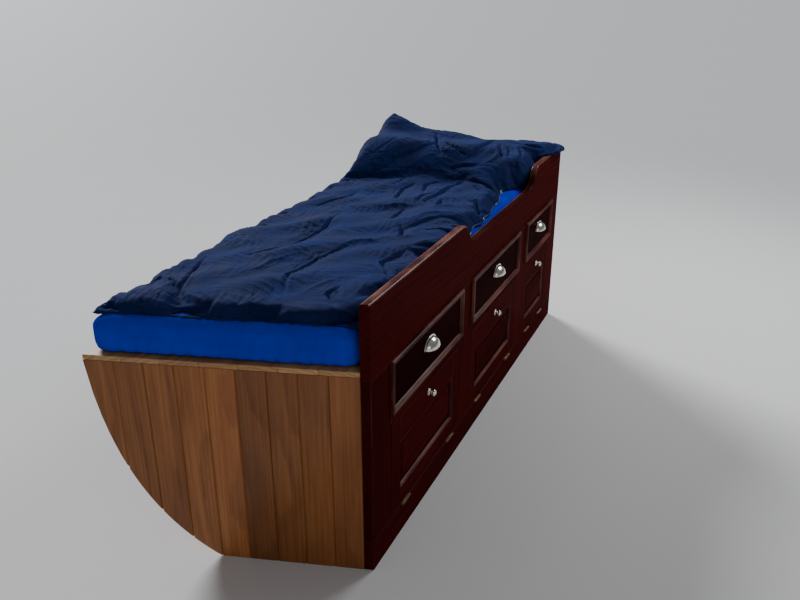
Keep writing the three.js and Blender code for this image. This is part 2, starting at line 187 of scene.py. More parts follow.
# Wood: a board's own coordinates run along its length, across its face and through its thickness
def woodGroup():
    tree, given, out = groupOf(
        "wood",
        ("Vector", "Dark", "Middle", "Light", "Rings", "Contrast", "Pores", "Figure"),
        ("Colour", "Gloss", "Height"),
    )
    vector = given.outputs["Vector"]
    dark, middle, light = [given.outputs[key] for key in ("Dark", "Middle", "Light")]
    # growth rings round a pith beside the board, wandering along its length
    sway = stretchedNoise(tree, vector, (0.9, 3.0, 3.0), 2.0)
    fine = stretchedNoise(tree, vector, (3.0, 22.0, 22.0), 3.0, 0.55)
    _, across, through = axesOf(tree, vector)
    across = plus(tree, across, times(tree, sway, 0.16))
    through = plus(tree, through, 0.05)
    radius = mathOf(tree, "SQRT", plus(tree, times(tree, across, across), times(tree, through, through)))
    turns = plus(tree, times(tree, radius, given.outputs["Rings"]), times(tree, fine, 1.4))
    ring = mathOf(tree, "FRACT", turns)
    late = times(tree, rangeOf(tree, ring, 0.25, 0.86), rangeOf(tree, ring, 1.0, 0.9))
    # long streaks, the broad shimmer of interlocked grain, patches of tone, and pores
    streak = stretchedNoise(tree, vector, (2.2, 150.0, 150.0), 3.0, 0.6)
    shimmer = stretchedNoise(tree, vector, (9.0, 26.0, 26.0), 2.0, 0.5, 0.6)
    patch = stretchedNoise(tree, vector, (1.3, 5.0, 5.0))
    pore = rangeOf(tree, stretchedNoise(tree, vector, (42.0, 900.0, 900.0)), 0.60, 0.70)
    pore = times(tree, pore, given.outputs["Pores"])
    colour = mixOf(tree, rangeOf(tree, streak, 0.3, 0.72), middle, light)
    for amount, other in (
        (times(tree, late, given.outputs["Contrast"]), dark),
        (times(tree, rangeOf(tree, shimmer, 0.3, 0.7), given.outputs["Figure"]), light),
        (times(tree, rangeOf(tree, patch, 0.35, 0.75), 0.45), dark),
        (pore, dark),
    ):
        colour = mixOf(tree, amount, colour, other)
    gloss = plus(tree, times(tree, streak, 0.5), times(tree, pore, 0.5))
    height = mathOf(tree, "SUBTRACT", times(tree, streak, 0.4), pore)
    feed(tree, out, Colour=colour, Gloss=gloss, Height=height)
    return tree


# Wear: along eased edges, broken up by noise, and a scatter of small knocks
def wearGroup():
    tree, given, out = groupOf("wear", ("Vector", "Edge", "Amount"), ("Worn", "Dull"))
    vector = given.outputs["Vector"]
    broken = rangeOf(tree, stretchedNoise(tree, vector, (5.0, 22.0, 22.0), 4.0, 0.6), 0.34, 0.74)
    worn = times(tree, times(tree, broken, given.outputs["Edge"]), given.outputs["Amount"])
    smear = noiseOf(tree, vector, 7.0, 3.0, 0.6)
    rub = noiseOf(tree, vector, 90.0)
    dull = plus(tree, rangeOf(tree, smear, 0.4, 0.75, 0, 0.7), rangeOf(tree, rub, 0.55, 0.8, 0, 0.3))
    feed(tree, out, Worn=worn, Dull=dull)
    return tree


# Cloth: fine plain weave, soft mottling and small creases
def clothGroup():
    tree, given, out = groupOf(
        "cloth",
        ("Vector", "Colour", "Faded", "Thread", "Creases"),
        ("Colour", "Rough", "Height", "Fold"),
    )
    vector = given.outputs["Vector"]
    along, across, _ = axesOf(tree, vector)
    step = mathOf(tree, "DIVIDE", 2 * math.pi, given.outputs["Thread"])
    warp = mathOf(tree, "SINE", times(tree, along, step))
    weft = mathOf(tree, "SINE", times(tree, across, step))
    slub = stretchedNoise(tree, vector, (40.0, 400.0, 400.0), 2.0)
    mottle = noiseOf(tree, vector, 9.0, 4.0, 0.6)
    crease = stretchedNoise(tree, vector, (14.0, 30.0, 22.0), 4.0, 0.6, 1.2)
    ridge = rangeOf(tree, mathOf(tree, "ABSOLUTE", mathOf(tree, "SUBTRACT", crease, 0.5)), 0.0, 0.09)
    fade = plus(tree, rangeOf(tree, mottle, 0.35, 0.75, 0, 0.6), times(tree, slub, 0.3))
    height = plus(tree, times(tree, times(tree, warp, weft), 0.25), times(tree, slub, 0.2))
    feed(
        tree, out,
        Colour=mixOf(tree, fade, given.outputs["Colour"], given.outputs["Faded"]),
        Rough=rangeOf(tree, mottle, 0.3, 0.7, 0.78, 0.95),
        Height=height,
        Fold=times(tree, ridge, given.outputs["Creases"]),
    )
    return tree


woodNodes = woodGroup()
wearNodes = wearGroup()
clothNodes = clothGroup()


def materialOf(name):
    made = bpy.data.materials.new(name)
    made.use_nodes = True
    tree = made.node_tree
    return made, tree, tree.nodes["Principled BSDF"]


def ownPlace(tree):
    return nodeOf(tree, "ShaderNodeTexCoord").outputs["Object"]


def groupIn(tree, group, **values):
    made = tree.nodes.new("ShaderNodeGroup")
    made.node_tree = group
    for key, value in values.items():
        made.inputs[key].default_value = value
    return made


def attributeOf(tree, name, output):
    return nodeOf(tree, "ShaderNodeAttribute", attribute_name=name).outputs[output]


# Varnished mahogany outside, bare pine inside, lighter panelling on the ends
woods = {
    "mahogany": {
        "look": dict(Dark=(0.012, 0.0010, 0.0012, 1), Middle=(0.047, 0.0036, 0.0040, 1),
                     Light=(0.076, 0.0064, 0.0060, 1), Rings=46.0, Contrast=0.26, Pores=0.35, Figure=0.25),
        # the mahogany's pale worn colour also stands in for the gleam on its shoulders and beads: part wear,
        # part painted highlight
        "worn": (0.42, 0.17, 0.11, 1), "wear": 0.6, "rough": (0.24, 0.42), "coat": (0.025, 0.5),
        "coatRough": 0.32, "specular": 0.0, "bump": 0.1, "tones": 0.22,
    },
    "pine": {
        "look": dict(Dark=(0.27, 0.11, 0.035, 1), Middle=(0.46, 0.25, 0.1, 1), Light=(0.58, 0.36, 0.17, 1),
                     Rings=75.0, Contrast=0.55, Pores=0.12, Figure=0.25),
        "worn": (0.6, 0.42, 0.24, 1), "wear": 0.5, "rough": (0.5, 0.75), "coat": (0.0, 0.0), "coatRough": 0.3,
        "specular": 0.3, "bump": 0.2, "tones": 0.25,
    },
    "panelling": {
        "look": dict(Dark=(0.10, 0.028, 0.008, 1), Middle=(0.26, 0.085, 0.022, 1),
                     Light=(0.37, 0.145, 0.045, 1), Rings=48.0, Contrast=0.32, Pores=0.15, Figure=0.25),
        "worn": (0.42, 0.2, 0.08, 1), "wear": 0.4, "rough": (0.28, 0.5), "coat": (0.1, 0.3),
        "coatRough": 0.12, "specular": 0.2, "bump": 0.12, "tones": 0.75,
    },
}


def woodMaterial(name, wood, lengthAxis=None):
    given = woods[wood]
    made, tree, shader = materialOf(name)
    grain = groupIn(tree, woodNodes, **given["look"])
    wear = groupIn(tree, wearNodes, Amount=given["wear"])
    flat, rounded = given["coat"]
    shader.inputs["Coat Weight"].default_value = flat
    if lengthAxis is None:
        place = attributeOf(tree, "board", "Vector")
        edge = attributeOf(tree, "eased", "Fac")
        # the varnish is glossiest along the rounded edges
        coat = mathOf(tree, "MULTIPLY_ADD", edge, rounded - flat, flat)
        feed(tree, wear, Edge=edge)
        feed(tree, shader, Coat_Weight=coat)
    else:
        # the board's length is turned to lie along one axis of the piece
        axes = axesOf(tree, ownPlace(tree))
        turned = nodeOf(tree, "ShaderNodeCombineXYZ")
        for i, source in enumerate({"x": (0, 1, 2), "z": (2, 1, 0)}[lengthAxis]):
            tree.links.new(axes[source], turned.inputs[i])
        place = turned.outputs[0]
    feed(tree, grain, Vector=place)
    feed(tree, wear, Vector=place)
    # boards cut from different trees differ in tone; the same tone also carries painted shade on the drawers'
    # recessed faces and the leeboard's low top band
    tone = mathOf(tree, "MULTIPLY_ADD", attributeOf(tree, "tone", "Fac"), given["tones"], 1.0)
    toned = nodeOf(tree, "ShaderNodeVectorMath", operation="SCALE")
    tree.links.new(grain.outputs["Colour"], toned.inputs[0])
    feed(tree, toned, Scale=tone)
    # edges mixed towards the worn colour; on the mahogany's leeboard and mouldings this paleness is partly
    # painted highlight
    colour = mixOf(tree, wear.outputs["Worn"], toned.outputs[0], given["worn"])
    dull = rangeOf(tree, wear.outputs["Dull"], 0, 1, *given["rough"])
    bump = nodeOf(tree, "ShaderNodeBump", Strength=given["bump"], Distance=0.0006)
    rough = plus(tree, times(tree, grain.outputs["Gloss"], 0.15), dull)
    feed(tree, bump, Height=grain.outputs["Height"])
    feed(tree, shader, Base_Color=colour, Roughness=rough, Normal=bump.outputs[0])
    shader.inputs["Specular IOR Level"].default_value = given["specular"]
    shader.inputs["Coat Roughness"].default_value = given["coatRough"]
    return made


# Cup pulls and knobs polished by hands, and the dull hinges
brasses = {
    "brass": {"bright": (0.86, 0.82, 0.72, 1), "tarnish": (0.16, 0.13, 0.09, 1), "rough": (0.05, 0.22)},
    "dullBrass": {"bright": (0.22, 0.14, 0.07, 1), "tarnish": (0.05, 0.032, 0.02, 1), "rough": (0.3, 0.55)},
}


def brassMaterial(name):
    given = brasses[name]
    made, tree, shader = materialOf(name)
    place = ownPlace(tree)
    smear = noiseOf(tree, place, 60.0, 4.0, 0.65)
    spots = noiseOf(tree, place, 420.0)
    scratch = stretchedNoise(tree, place, (30.0, 800.0, 800.0))
    tarnish = plus(tree, rangeOf(tree, smear, 0.45, 0.75, 0, 0.55), rangeOf(tree, spots, 0.6, 0.75, 0, 0.3))
    rough = plus(tree, rangeOf(tree, smear, 0.3, 0.7, *given["rough"]), times(tree, scratch, 0.12))
    bump = nodeOf(tree, "ShaderNodeBump", Strength=0.1, Distance=0.0002)
    colour = mixOf(tree, tarnish, given["bright"], given["tarnish"])
    feed(tree, bump, Height=scratch)
    feed(tree, shader, Base_Color=colour, Roughness=rough, Normal=bump.outputs[0])
    shader.inputs["Metallic"].default_value = 1.0
    return made


# The mattress's sheet and the duvet's cover
cloths = {
    "sheet": {
        "look": dict(Colour=(0.0004, 0.027, 0.50, 1), Faded=(0.0010, 0.041, 0.62, 1), Thread=0.0009,
                     Creases=0.3),
        "sheen": 0.0, "specular": 0.0, "folds": 0.25,
    },
    "duvet": {
        "look": dict(Colour=(0.0076, 0.0122, 0.053, 1), Faded=(0.0140, 0.0280, 0.120, 1), Thread=0.001,
                     Creases=0.5),
        "sheen": 0.04, "specular": 0.03, "folds": 0.1,
    },
}


def clothMaterial(name):
    given = cloths[name]
    made, tree, shader = materialOf(name + "Cloth")
    cloth = groupIn(tree, clothNodes, **given["look"])
    fold = nodeOf(tree, "ShaderNodeBump", Strength=given["folds"], Distance=0.003)
    weave = nodeOf(tree, "ShaderNodeBump", Strength=0.35, Distance=0.0004)
    feed(tree, cloth, Vector=ownPlace(tree))
    feed(tree, fold, Height=cloth.outputs["Fold"])
    feed(tree, weave, Height=cloth.outputs["Height"], Normal=fold.outputs[0])
    colour, rough = cloth.outputs["Colour"], cloth.outputs["Rough"]
    feed(tree, shader, Base_Color=colour, Roughness=rough, Normal=weave.outputs[0])
    shader.inputs["Sheen Weight"].default_value = given["sheen"]
    shader.inputs["Sheen Roughness"].default_value = 0.45
    shader.inputs["Sheen Tint"].default_value = (0.2, 0.4, 1.0, 1)
    shader.inputs["Specular IOR Level"].default_value = given["specular"]
    return made


# The zip's teeth and its pull, clean and grimy; the pull's near-white colour is part its own and part a
# painted glint, so that it shows bright in shade
zips = {
    "zip": ((0.26, 0.32, 0.46, 1), (0.09, 0.12, 0.22, 1)),
    "zipPullPaintedGlint": ((0.80, 0.80, 0.78, 1), (0.50, 0.50, 0.50, 1)),
}


def zipMaterial(name):
    made, tree, shader = materialOf(name)
    grime = rangeOf(tree, noiseOf(tree, ownPlace(tree), 130.0, 3.0, 0.6), 0.35, 0.7)
    rough = rangeOf(tree, grime, 0, 1, 0.3, 0.5)
    feed(tree, shader, Base_Color=mixOf(tree, grime, *zips[name]), Roughness=rough)
    shader.inputs["Metallic"].default_value = 0.4
    return made


finishes = {
    "pineAlong": woodMaterial("pineAlong", "pine", "x"),
    "pineUpright": woodMaterial("pineUpright", "pine", "z"),
}
for name in woods:
    finishes[name] = woodMaterial(name, name)
for names, materialFor in ((brasses, brassMaterial), (zips, zipMaterial), (cloths, clothMaterial)):
    for name in names:
        finishes[name] = materialFor(name)
print("stage: materials made")


def smoothStep(low, high, value):
    t = np.clip((value - low) / (high - low), 0.0, 1.0)
    return t * t * (3 - 2 * t)


def mixed(low, high, amount):
    return low + (high - low) * amount


# Building with bmesh
def meshFrom(bm, name):
    data = bpy.data.meshes.new(name)
    for face in bm.faces:
        face.smooth = True
    bm.to_mesh(data)
    bm.free()
    return data


def pieceOf(name, bm, finish, body, replaced=(), sharp=35, weighted=True):
    data = meshFrom(bm, name)
    data.set_sharp_from_angle(angle=math.radians(sharp))
    data.materials.append(finishes[finish])
    made = linked(name, data)
    if weighted:
        made.modifiers.new("normals", "WEIGHTED_NORMAL").keep_sharp = True
    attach(made, body)
    if replaced:
        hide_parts(*replaced)


def addTo(whole, part):
    data = meshFrom(part, "part")
    whole.from_mesh(data)
    bpy.data.meshes.remove(data)


def moveBy(bm, offset):
    bmesh.ops.translate(bm, vec=offset, verts=bm.verts)


def quarterTurn(bm, axis):
    bmesh.ops.rotate(bm, matrix=Matrix.Rotation(math.radians(90), 3, axis), verts=bm.verts)


def bevelled(bm, edges, offset, segments=2, clamp=False):
    made = bmesh.ops.bevel(bm, geom=edges, offset=offset, segments=segments, profile=0.5, affect="EDGES",
                           material=-1, clamp_overlap=clamp)
    return made["faces"]


def drawnOut(bm, faces):
    # extruded where they lie; the new vertices are then moved
    grown = bmesh.ops.extrude_face_region(bm, geom=faces)
    return [item for item in grown["geom"] if isinstance(item, bmesh.types.BMVert)]


def levelEdges(bm, axis):
    # the edges along which one coordinate doesn't change
    return [edge for edge in bm.edges if abs(edge.verts[0].co[axis] - edge.verts[1].co[axis]) < tiny]


def blockOf(low, high):
    bm = bmesh.new()
    bmesh.ops.create_cube(bm, size=1)
    bmesh.ops.scale(bm, vec=high - low, verts=bm.verts)
    moveBy(bm, (low + high) / 2)
    return bm


boardAxes = {"x": (0, 2, 1), "y": (1, 0, 2), "z": (2, 0, 1)}   # length, face and thickness
tiny = 1e-6


# Every board has its own grain, a slightly different tone unless a painted shade is given instead, and wear
# along its eased edges
def markBoard(bm, along, seed, eased=(), wornTo=0.22, shade=None):
    place = bm.verts.layers.float_vector.new("board")
    tone = bm.loops.layers.float.new("tone")
    edge = bm.loops.layers.float.new("eased")
    chance = random.Random(seed)
    shift = Vector((chance.uniform(-5, 5), chance.uniform(-0.16, 0.16), chance.uniform(-0.02, 0.06)))
    tilt = chance.uniform(-0.02, 0.02)
    if shade is None:
        shade = chance.uniform(-0.5, 0.5)
    length, face, thickness = boardAxes[along]
    for part in bm.faces:
        for loop in part.loops:
            loop[tone] = shade
    for vert in bm.verts:
        co = vert.co
        vert[place] = Vector((co[length], co[face] + tilt * co[length], co[thickness])) + shift
    for part in eased:
        for loop in part.loops:
            loop[edge] = wornTo


def boardOf(low, high, along, seed, ease=0.0015, skewLow=False, skewHigh=False, segments=2, shade=None):
    low, high = Vector(low), Vector(high)
    bm = blockOf(low, high)
    deep = (high.y - low.y) * berth["skew"]
    for vert in bm.verts:
        back = (vert.co.y - low.y) * berth["skew"]
        if vert.co.x < (low.x + high.x) / 2:
            if skewLow:
                vert.co.x += deep - back
        elif skewHigh:
            vert.co.x -= back
    markBoard(bm, along, seed, bevelled(bm, bm.edges[:], ease, segments), shade=shade)
    return bm


def boardsOf(node, ease, *boards):
    # boards given by their low and high corners, the way of the grain and a seed
    whole = bmesh.new()
    for low, high, along, seed in boards:
        addTo(whole, boardOf(low, high, along, node + seed, ease))
    return whole


def nodeBoard(node, along, wood="mahogany", ease=0.0015, skewLow=False, skewHigh=False):
    bm = boardOf(*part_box(node), along, node, ease, skewLow, skewHigh)
    pieceOf(node + "_board", bm, wood, carcase, [node])


def plainLoft(points, offset):
    # a flat outline, closed and filled, then drawn out
    bm = bmesh.new()
    face = bm.faces.new([bm.verts.new(point) for point in points])
    bmesh.ops.translate(bm, vec=offset, verts=drawnOut(bm, [face]))
    bmesh.ops.recalc_face_normals(bm, faces=bm.faces)
    return bm


def curvePoints(start, first, second, end, steps):
    made = []
    for i in range(1, steps + 1):
        t = i / steps
        s = 1 - t
        made.append(tuple(s ** 3 * a + 3 * s * s * t * b + 3 * s * t * t * c + t ** 3 * d
                          for a, b, c, d in zip(start, first, second, end)))
    return made


def arcPoints(centre, radius, start, end, steps):
    made = []
    for i in range(steps + 1):
        angle = math.radians(start + (end - start) * i / steps)
        made.append((centre[0] + radius * math.cos(angle), centre[1] + radius * math.sin(angle)))
    return made


# the beads and ovolos are worn pale all over: part wear, part painted highlight along the mouldings
mouldingWornAndHighlit = 0.65


# A moulding mitred round a rectangle on the front, its profile drawn as (in from the edge, out from the face)
def mitredFrame(low, high, faceY, profile, seed):
    whole = bmesh.new()
    sides = [
        ((low.x, low.z), (1, 0), (0, 1), high.x - low.x, "x"),
        ((high.x, low.z), (0, 1), (-1, 0), high.z - low.z, "z"),
        ((high.x, high.z), (-1, 0), (0, -1), high.x - low.x, "x"),
        ((low.x, high.z), (0, -1), (1, 0), high.z - low.z, "z"),
    ]
    for i, (corner, run, inward, length, along) in enumerate(sides):
        bm = bmesh.new()
        face = bm.faces.new([bm.verts.new((across, across, out)) for across, out in profile])
        for vert in drawnOut(bm, [face]):
            vert.co.x = length - vert.co.y
        place = Matrix((
            (run[0], inward[0], 0, corner[0]),
            (0, 0, -1, faceY),
            (run[1], inward[1], 0, corner[1]),
            (0, 0, 0, 1),
        ))
        bmesh.ops.transform(bm, matrix=place, verts=bm.verts)
        bmesh.ops.recalc_face_normals(bm, faces=bm.faces)
        markBoard(bm, along, seed + str(i), bm.faces, mouldingWornAndHighlit)
        addTo(whole, bm)
    return whole


# The leeboard, with strongly rounded top edges
leeboard = {
    "low": 0.724, "alongFront": (0.690, 0.780, 1.440, 1.535),   # aft top and foot, fore foot and top
    "round": 0.034, "hollow": 0.030, "lean": 0.020, "lift": 0.010, "edge": 0.0068, "steps": 12,
    # the paleness of the shoulders and the inner rounding is part wear, part painted highlight; the low
    # edge's top band tone is painted shade
    "aftWornAndHighlit": 1.0, "foreWornAndHighlit": 0.6, "lowWorn": 0.12, "edgeWornAndHighlit": 0.5, "lowPaintedShade": -2.4,
    "leans": 0.02, "paleFrom": 0.010, "paleTo": 0.012,   # over the low edge and under the shoulders
}


def ogee(top, foot, way):
    # from a shoulder's end down to the low edge: way is 1 forward of the scoop and -1 aft of it
    high, low = berth["shoulder"], leeboard["low"]
    hollow, lean, lift, corner = [leeboard[key] for key in ("hollow", "lean", "lift", "round")]
    start = (top + way * corner, high)
    steep = (top - way * lean, low + corner)
    middle = (foot + way * hollow, low + lift)
    last = (foot + way * lift, low)
    line = [start] + curvePoints(start, (top - way * hollow, high), steep, middle, leeboard["steps"])
    return line + curvePoints(middle, last, last, (foot - way * lean, low), 4)


def leeboardBoard():
    given = leeboard
    low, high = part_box("leeboard")
    aft, fore = berth["aft"], berth["fore"]
    aftTop, aftFoot, foreFoot, foreTop = [aft + along for along in given["alongFront"]]
    outline = [(aft, low.z), (fore, low.z), (fore, high.z)] + ogee(foreTop, foreFoot, 1)
    outline += reversed(ogee(aftTop, aftFoot, -1))
    outline += [(aft, high.z)]
    bm = plainLoft([(x, low.y, z) for x, z in outline], (0, high.y - low.y, 0))
    for vert in bm.verts:
        if vert.co.x < aft + tiny or vert.co.x > fore - tiny:
            vert.co.x -= (vert.co.y - low.y) * berth["skew"]
    rim = [edge for edge in levelEdges(bm, 1) if min(vert.co.z for vert in edge.verts) > low.z + tiny]
    bevelled(bm, rim, given["edge"], 5, True)
    markBoard(bm, "x", "leeboard")
    bm.normal_update()
    eased = bm.loops.layers.float["eased"]
    tone = bm.loops.layers.float["tone"]
    for face in bm.faces:
        # the shoulders are pale, part wear and part painted highlight, the aft one paler than the fore as if
        # lit more; the low edge pale only along its inner rounding, a painted highlight line, its top band
        # darkened with painted shade
        rounded = given["edgeWornAndHighlit"] if face.normal.y > given["leans"] else 0.0
        if abs(face.normal.y) < 1 - given["leans"] and face.normal.z > given["leans"]:
            for loop in face.loops:
                spot = loop.vert.co
                rise = float(smoothStep(given["low"] + given["paleFrom"], high.z - given["paleTo"], spot.z))
                worn = given["aftWornAndHighlit"] if spot.x < (aftFoot + foreFoot) / 2 else given["foreWornAndHighlit"]
                loop[eased] = mixed(given["lowWorn"] + rounded, worn, rise)
                # painted shade: the low edge's top band toned darker than the rest of the board
                loop[tone] = mixed(given["lowPaintedShade"], loop[tone], rise)
    pieceOf("leeboard_board", bm, "mahogany", carcase, ["leeboard"], sharp=40)


leeboardBoard()


# The face frame: plinth, stiles and rails, with plugs over their screws
plug = {
    "radius": 0.0055, "proud": 0.0003, "deep": 0.004, "in": 0.028, "aftIn": 0.0075,
    "foot": 0.05, "low": 0.020, "middle": 0.417, "underTop": 0.022, "overTop": 0.030,
}


def plugAt(x, z, seed):
    bm = bmesh.new()
    bmesh.ops.create_cone(bm, cap_ends=True, segments=20, radius1=plug["radius"], radius2=plug["radius"],
                          depth=plug["deep"])
    quarterTurn(bm, "X")
    moveBy(bm, (x, berth["front"] + plug["deep"] / 2 - plug["proud"], z))
    markBoard(bm, "y", seed)
    return bm


def faceFrame():
    nodeBoard("plinth_rail", "x", skewLow=True, skewHigh=True)
    nodeBoard("stile_aft", "z", skewLow=True)
    nodeBoard("stile_aft_middle", "z")
    nodeBoard("stile_middle_fore", "z")
    nodeBoard("stile_fore", "z", skewHigh=True)
    for bay in bays:
        nodeBoard("rail_" + bay, "x")
    whole = bmesh.new()
    for stile in ("stile_aft", "stile_aft_middle", "stile_middle_fore", "stile_fore"):
        low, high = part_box(stile)
        left = low.x + plug["in"] + (plug["aftIn"] if stile == "stile_aft" else 0)
        right = high.x - plug["in"]
        for z in (low.z + plug["low"], plug["middle"], high.z - plug["underTop"], high.z + plug["overTop"]):
            for x in (left, right):
                addTo(whole, plugAt(x, z, stile + str(round(x + z, 4))))
        addTo(whole, plugAt((left + right) / 2, plug["foot"], stile + "foot"))
    pieceOf("frame_plugs", whole, "mahogany", carcase)


faceFrame()
print("stage: face frame")


# The drawers: a recessed face inside a double bead, a jointed pine box and a cup pull
drawer = {
    "rimWide": 0.018, "rimProud": 0.0095, "outerBead": 0.0045, "quirk": (0.0093, 0.0033),
    "innerBead": (0.0125, 0.0043, 0.0030), "rimFoot": (0.0164, 0.0016), "rimOff": 0.0005,
    "slabIn": 0.009, "slabOff": 0.001, "slabPaintedShade": -3.0,
    "side": 0.012, "bottom": 0.006, "finger": 0.0125, "ease": 0.0006, "bottomEase": 0.0004,
    "fingerEase": 0.0003,
}


def rimProfile():
    # an outer bead, a quirk, and a smaller inner bead that falls to the face
    bead = drawer["outerBead"]
    across, out, radius = drawer["innerBead"]
    made = [(0.0, 0.0)] + arcPoints((bead, drawer["rimProud"] - bead), bead, 180, 10, 7) + [drawer["quirk"]]
    made += arcPoints((across, out), radius, 160, -10, 6)
    return made + [drawer["rimFoot"], (drawer["rimWide"], 0.0)]


def drawerFront(bay):
    node = "drawer_front_" + bay
    low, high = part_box(node)
    inner = drawer["slabIn"]
    whole = mitredFrame(low, high, berth["front"] - drawer["rimOff"], rimProfile(), node)
    slabLow = (low.x + inner, berth["front"] - drawer["slabOff"], low.z + inner)
    slabHigh = (high.x - inner, high.y, high.z - inner)
    # the recessed face is toned far darker than the bead round it: painted shade in the recess
    addTo(whole, boardOf(slabLow, slabHigh, "x", node, 0.001, shade=drawer["slabPaintedShade"]))
    pieceOf(node + "_panel", whole, "mahogany", "drawer_" + bay, [node], sharp=50)


def drawerBox(bay):
    node = "drawer_box_" + bay
    low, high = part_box(node)
    side = drawer["side"]
    x0, x1, y0, y1 = low.x + side, high.x - side, low.y + side, high.y - side
    whole = boardsOf(
        node, drawer["ease"],
        ((low.x, y0, low.z), (x0, y1, high.z), "y", "a"),
        ((x1, y0, low.z), (high.x, y1, high.z), "y", "b"),
        ((x0, low.y, low.z), (x1, y0, high.z), "x", "c"),
        ((x0, y1, low.z), (x1, high.y, high.z), "x", "d"),
    )
    bottomTop = low.z + drawer["bottom"]
    addTo(whole, boardOf((x0, y0, low.z), (x1, y1, bottomTop), "x", node + "bottom", drawer["bottomEase"]))
    # finger joints at the corners
    count = round((high.z - low.z) / drawer["finger"])
    step = (high.z - low.z) / count
    for x in (low.x, x1):
        for y in (low.y, y1):
            for i in range(count):
                z = low.z + i * step
                seed = node + str(round(x + y, 3)) + str(i)
                addTo(whole, boardOf((x, y, z), (x + side, y + side, z + step), "y" if i % 2 else "x", seed,
                                     drawer["fingerEase"], segments=1))
    pieceOf(node + "_joined", whole, "pine", "drawer_" + bay, [node])


cup = {
    "halfWidth": 0.042, "reach": 0.028, "rise": 0.030, "wall": 0.0022, "bead": 0.0016, "beadIn": 0.6,
    "lip": 0.004, "plate": 0.0018, "plateEase": 0.0007, "plateStep": 5,   # the last in degrees
}


def cupPull(bay):
    node = "cup_pull_" + bay
    low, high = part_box(node)
    shell = bmesh.new()
    bmesh.ops.create_uvsphere(shell, u_segments=56, v_segments=28, radius=1)
    quarterTurn(shell, "Y")
    bmesh.ops.scale(shell, vec=(cup["halfWidth"], cup["reach"], cup["rise"]), verts=shell.verts)
    for outwards in ((0, 1, 0), (0, 0, -1)):
        cut = shell.verts[:] + shell.edges[:] + shell.faces[:]
        bmesh.ops.bisect_plane(shell, geom=cut, plane_co=(0, 0, 0), plane_no=outwards, clear_outer=True)
    bmesh.ops.solidify(shell, geom=shell.faces[:], thickness=cup["wall"])
    whole = bmesh.new()
    addTo(whole, shell)
    outer = cup["halfWidth"] + cup["lip"]
    tall = cup["rise"] + cup["lip"]
    angles = [math.radians(degrees) for degrees in range(0, 181, cup["plateStep"])]
    plate = plainLoft([(outer * math.cos(a), 0, tall * math.sin(a)) for a in angles], (0, -cup["plate"], 0))
    bevelled(plate, plate.edges[:], cup["plateEase"])
    addTo(whole, plate)
    # a bead round the mouth
    rim = bmesh.new()
    inset = cup["bead"] * cup["beadIn"]
    bmesh.ops.create_circle(rim, segments=10, radius=cup["bead"])
    quarterTurn(rim, "X")
    moveBy(rim, (cup["halfWidth"] - inset, 0, inset))
    bmesh.ops.spin(rim, geom=rim.edges[:], axis=(0, 0, 1), cent=(0, 0, 0), dvec=(0, 0, 0),
                   angle=math.radians(-180), steps=40)
    bmesh.ops.holes_fill(rim, edges=rim.edges, sides=12)
    bmesh.ops.scale(rim, vec=(1, cup["reach"] / cup["halfWidth"], 1), verts=rim.verts)
    bmesh.ops.recalc_face_normals(rim, faces=rim.faces)
    addTo(whole, rim)
    moveBy(whole, ((low.x + high.x) / 2, high.y, low.z))
    pieceOf(node + "_shell", whole, "brass", "drawer_" + bay, [node], sharp=40, weighted=False)


for bay in bays:
    drawerFront(bay)
    drawerBox(bay)
    cupPull(bay)
print("stage: drawers")


# The flaps: stiles and rails with an ovolo, a raised panel, a turned knob
flap = {
    "stile": 0.056, "topRail": 0.084, "footRail": 0.058, "ease": 0.0012,
    "ovolo": (0.0002, -0.008, 0.0066), "ovoloDeep": 0.010, "quirk": 0.0008,
    "panelThick": 0.007,
    # a flat tongue, a shallow slope, a small shoulder and the field: how wide each is, and how far it rises
    "insets": ((0.009, 0.0), (0.024, 0.0055), (0.0006, 0.0022), (0.0012, 0.0006)),
}


def flapFrame(bay):
    node = "flap_frame_" + bay
    low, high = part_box(node)
    x0, x1 = low.x + flap["stile"], high.x - flap["stile"]
    z0, z1 = low.z + flap["footRail"], high.z - flap["topRail"]
    whole = boardsOf(
        node, flap["ease"],
        (low, (x0, high.y, high.z), "z", "a"),
        ((x1, low.y, low.z), high, "z", "b"),
        ((x0, low.y, low.z), (x1, high.y, z0), "x", "c"),
        ((x0, low.y, z1), (x1, high.y, high.z), "x", "d"),
    )
    across, out, radius = flap["ovolo"]
    deep = flap["ovoloDeep"]
    profile = [(0.0, -deep), (0.0, -flap["quirk"])] + arcPoints((across, out), radius, 90, 0, 6)
    profile += [(across + radius, -deep)]
    addTo(whole, mitredFrame(Vector((x0, 0, z0)), Vector((x1, 0, z1)), low.y, profile, node))
    pieceOf(node + "_joined", whole, "mahogany", "flap_" + bay, [node])


def flapPanel(bay):
    node = "flap_panel_" + bay
    low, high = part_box(node)
    bm = blockOf(Vector((low.x, high.y - flap["panelThick"], low.z)), high)
    front = min(bm.faces, key=lambda face: face.calc_center_median().y)
    for thickness, depth in flap["insets"]:
        bmesh.ops.inset_individual(bm, faces=[front], thickness=thickness, depth=depth)
    markBoard(bm, "x", node)
    pieceOf(node + "_raised", bm, "mahogany", "flap_" + bay, [node], sharp=12)


def spun(profile, steps=32):
    # profile points are (radius, along); the axis is z
    bm = bmesh.new()
    ring = [bm.verts.new((r, 0, h)) for r, h in profile]
    for a, b in zip(ring, ring[1:]):
        bm.edges.new((a, b))
    bmesh.ops.spin(bm, geom=bm.verts[:] + bm.edges[:], axis=(0, 0, 1), cent=(0, 0, 0), dvec=(0, 0, 0),
                   angle=math.radians(360), steps=steps, use_merge=True)
    bmesh.ops.remove_doubles(bm, verts=bm.verts, dist=tiny)
    bmesh.ops.recalc_face_normals(bm, faces=bm.faces)
    return bm


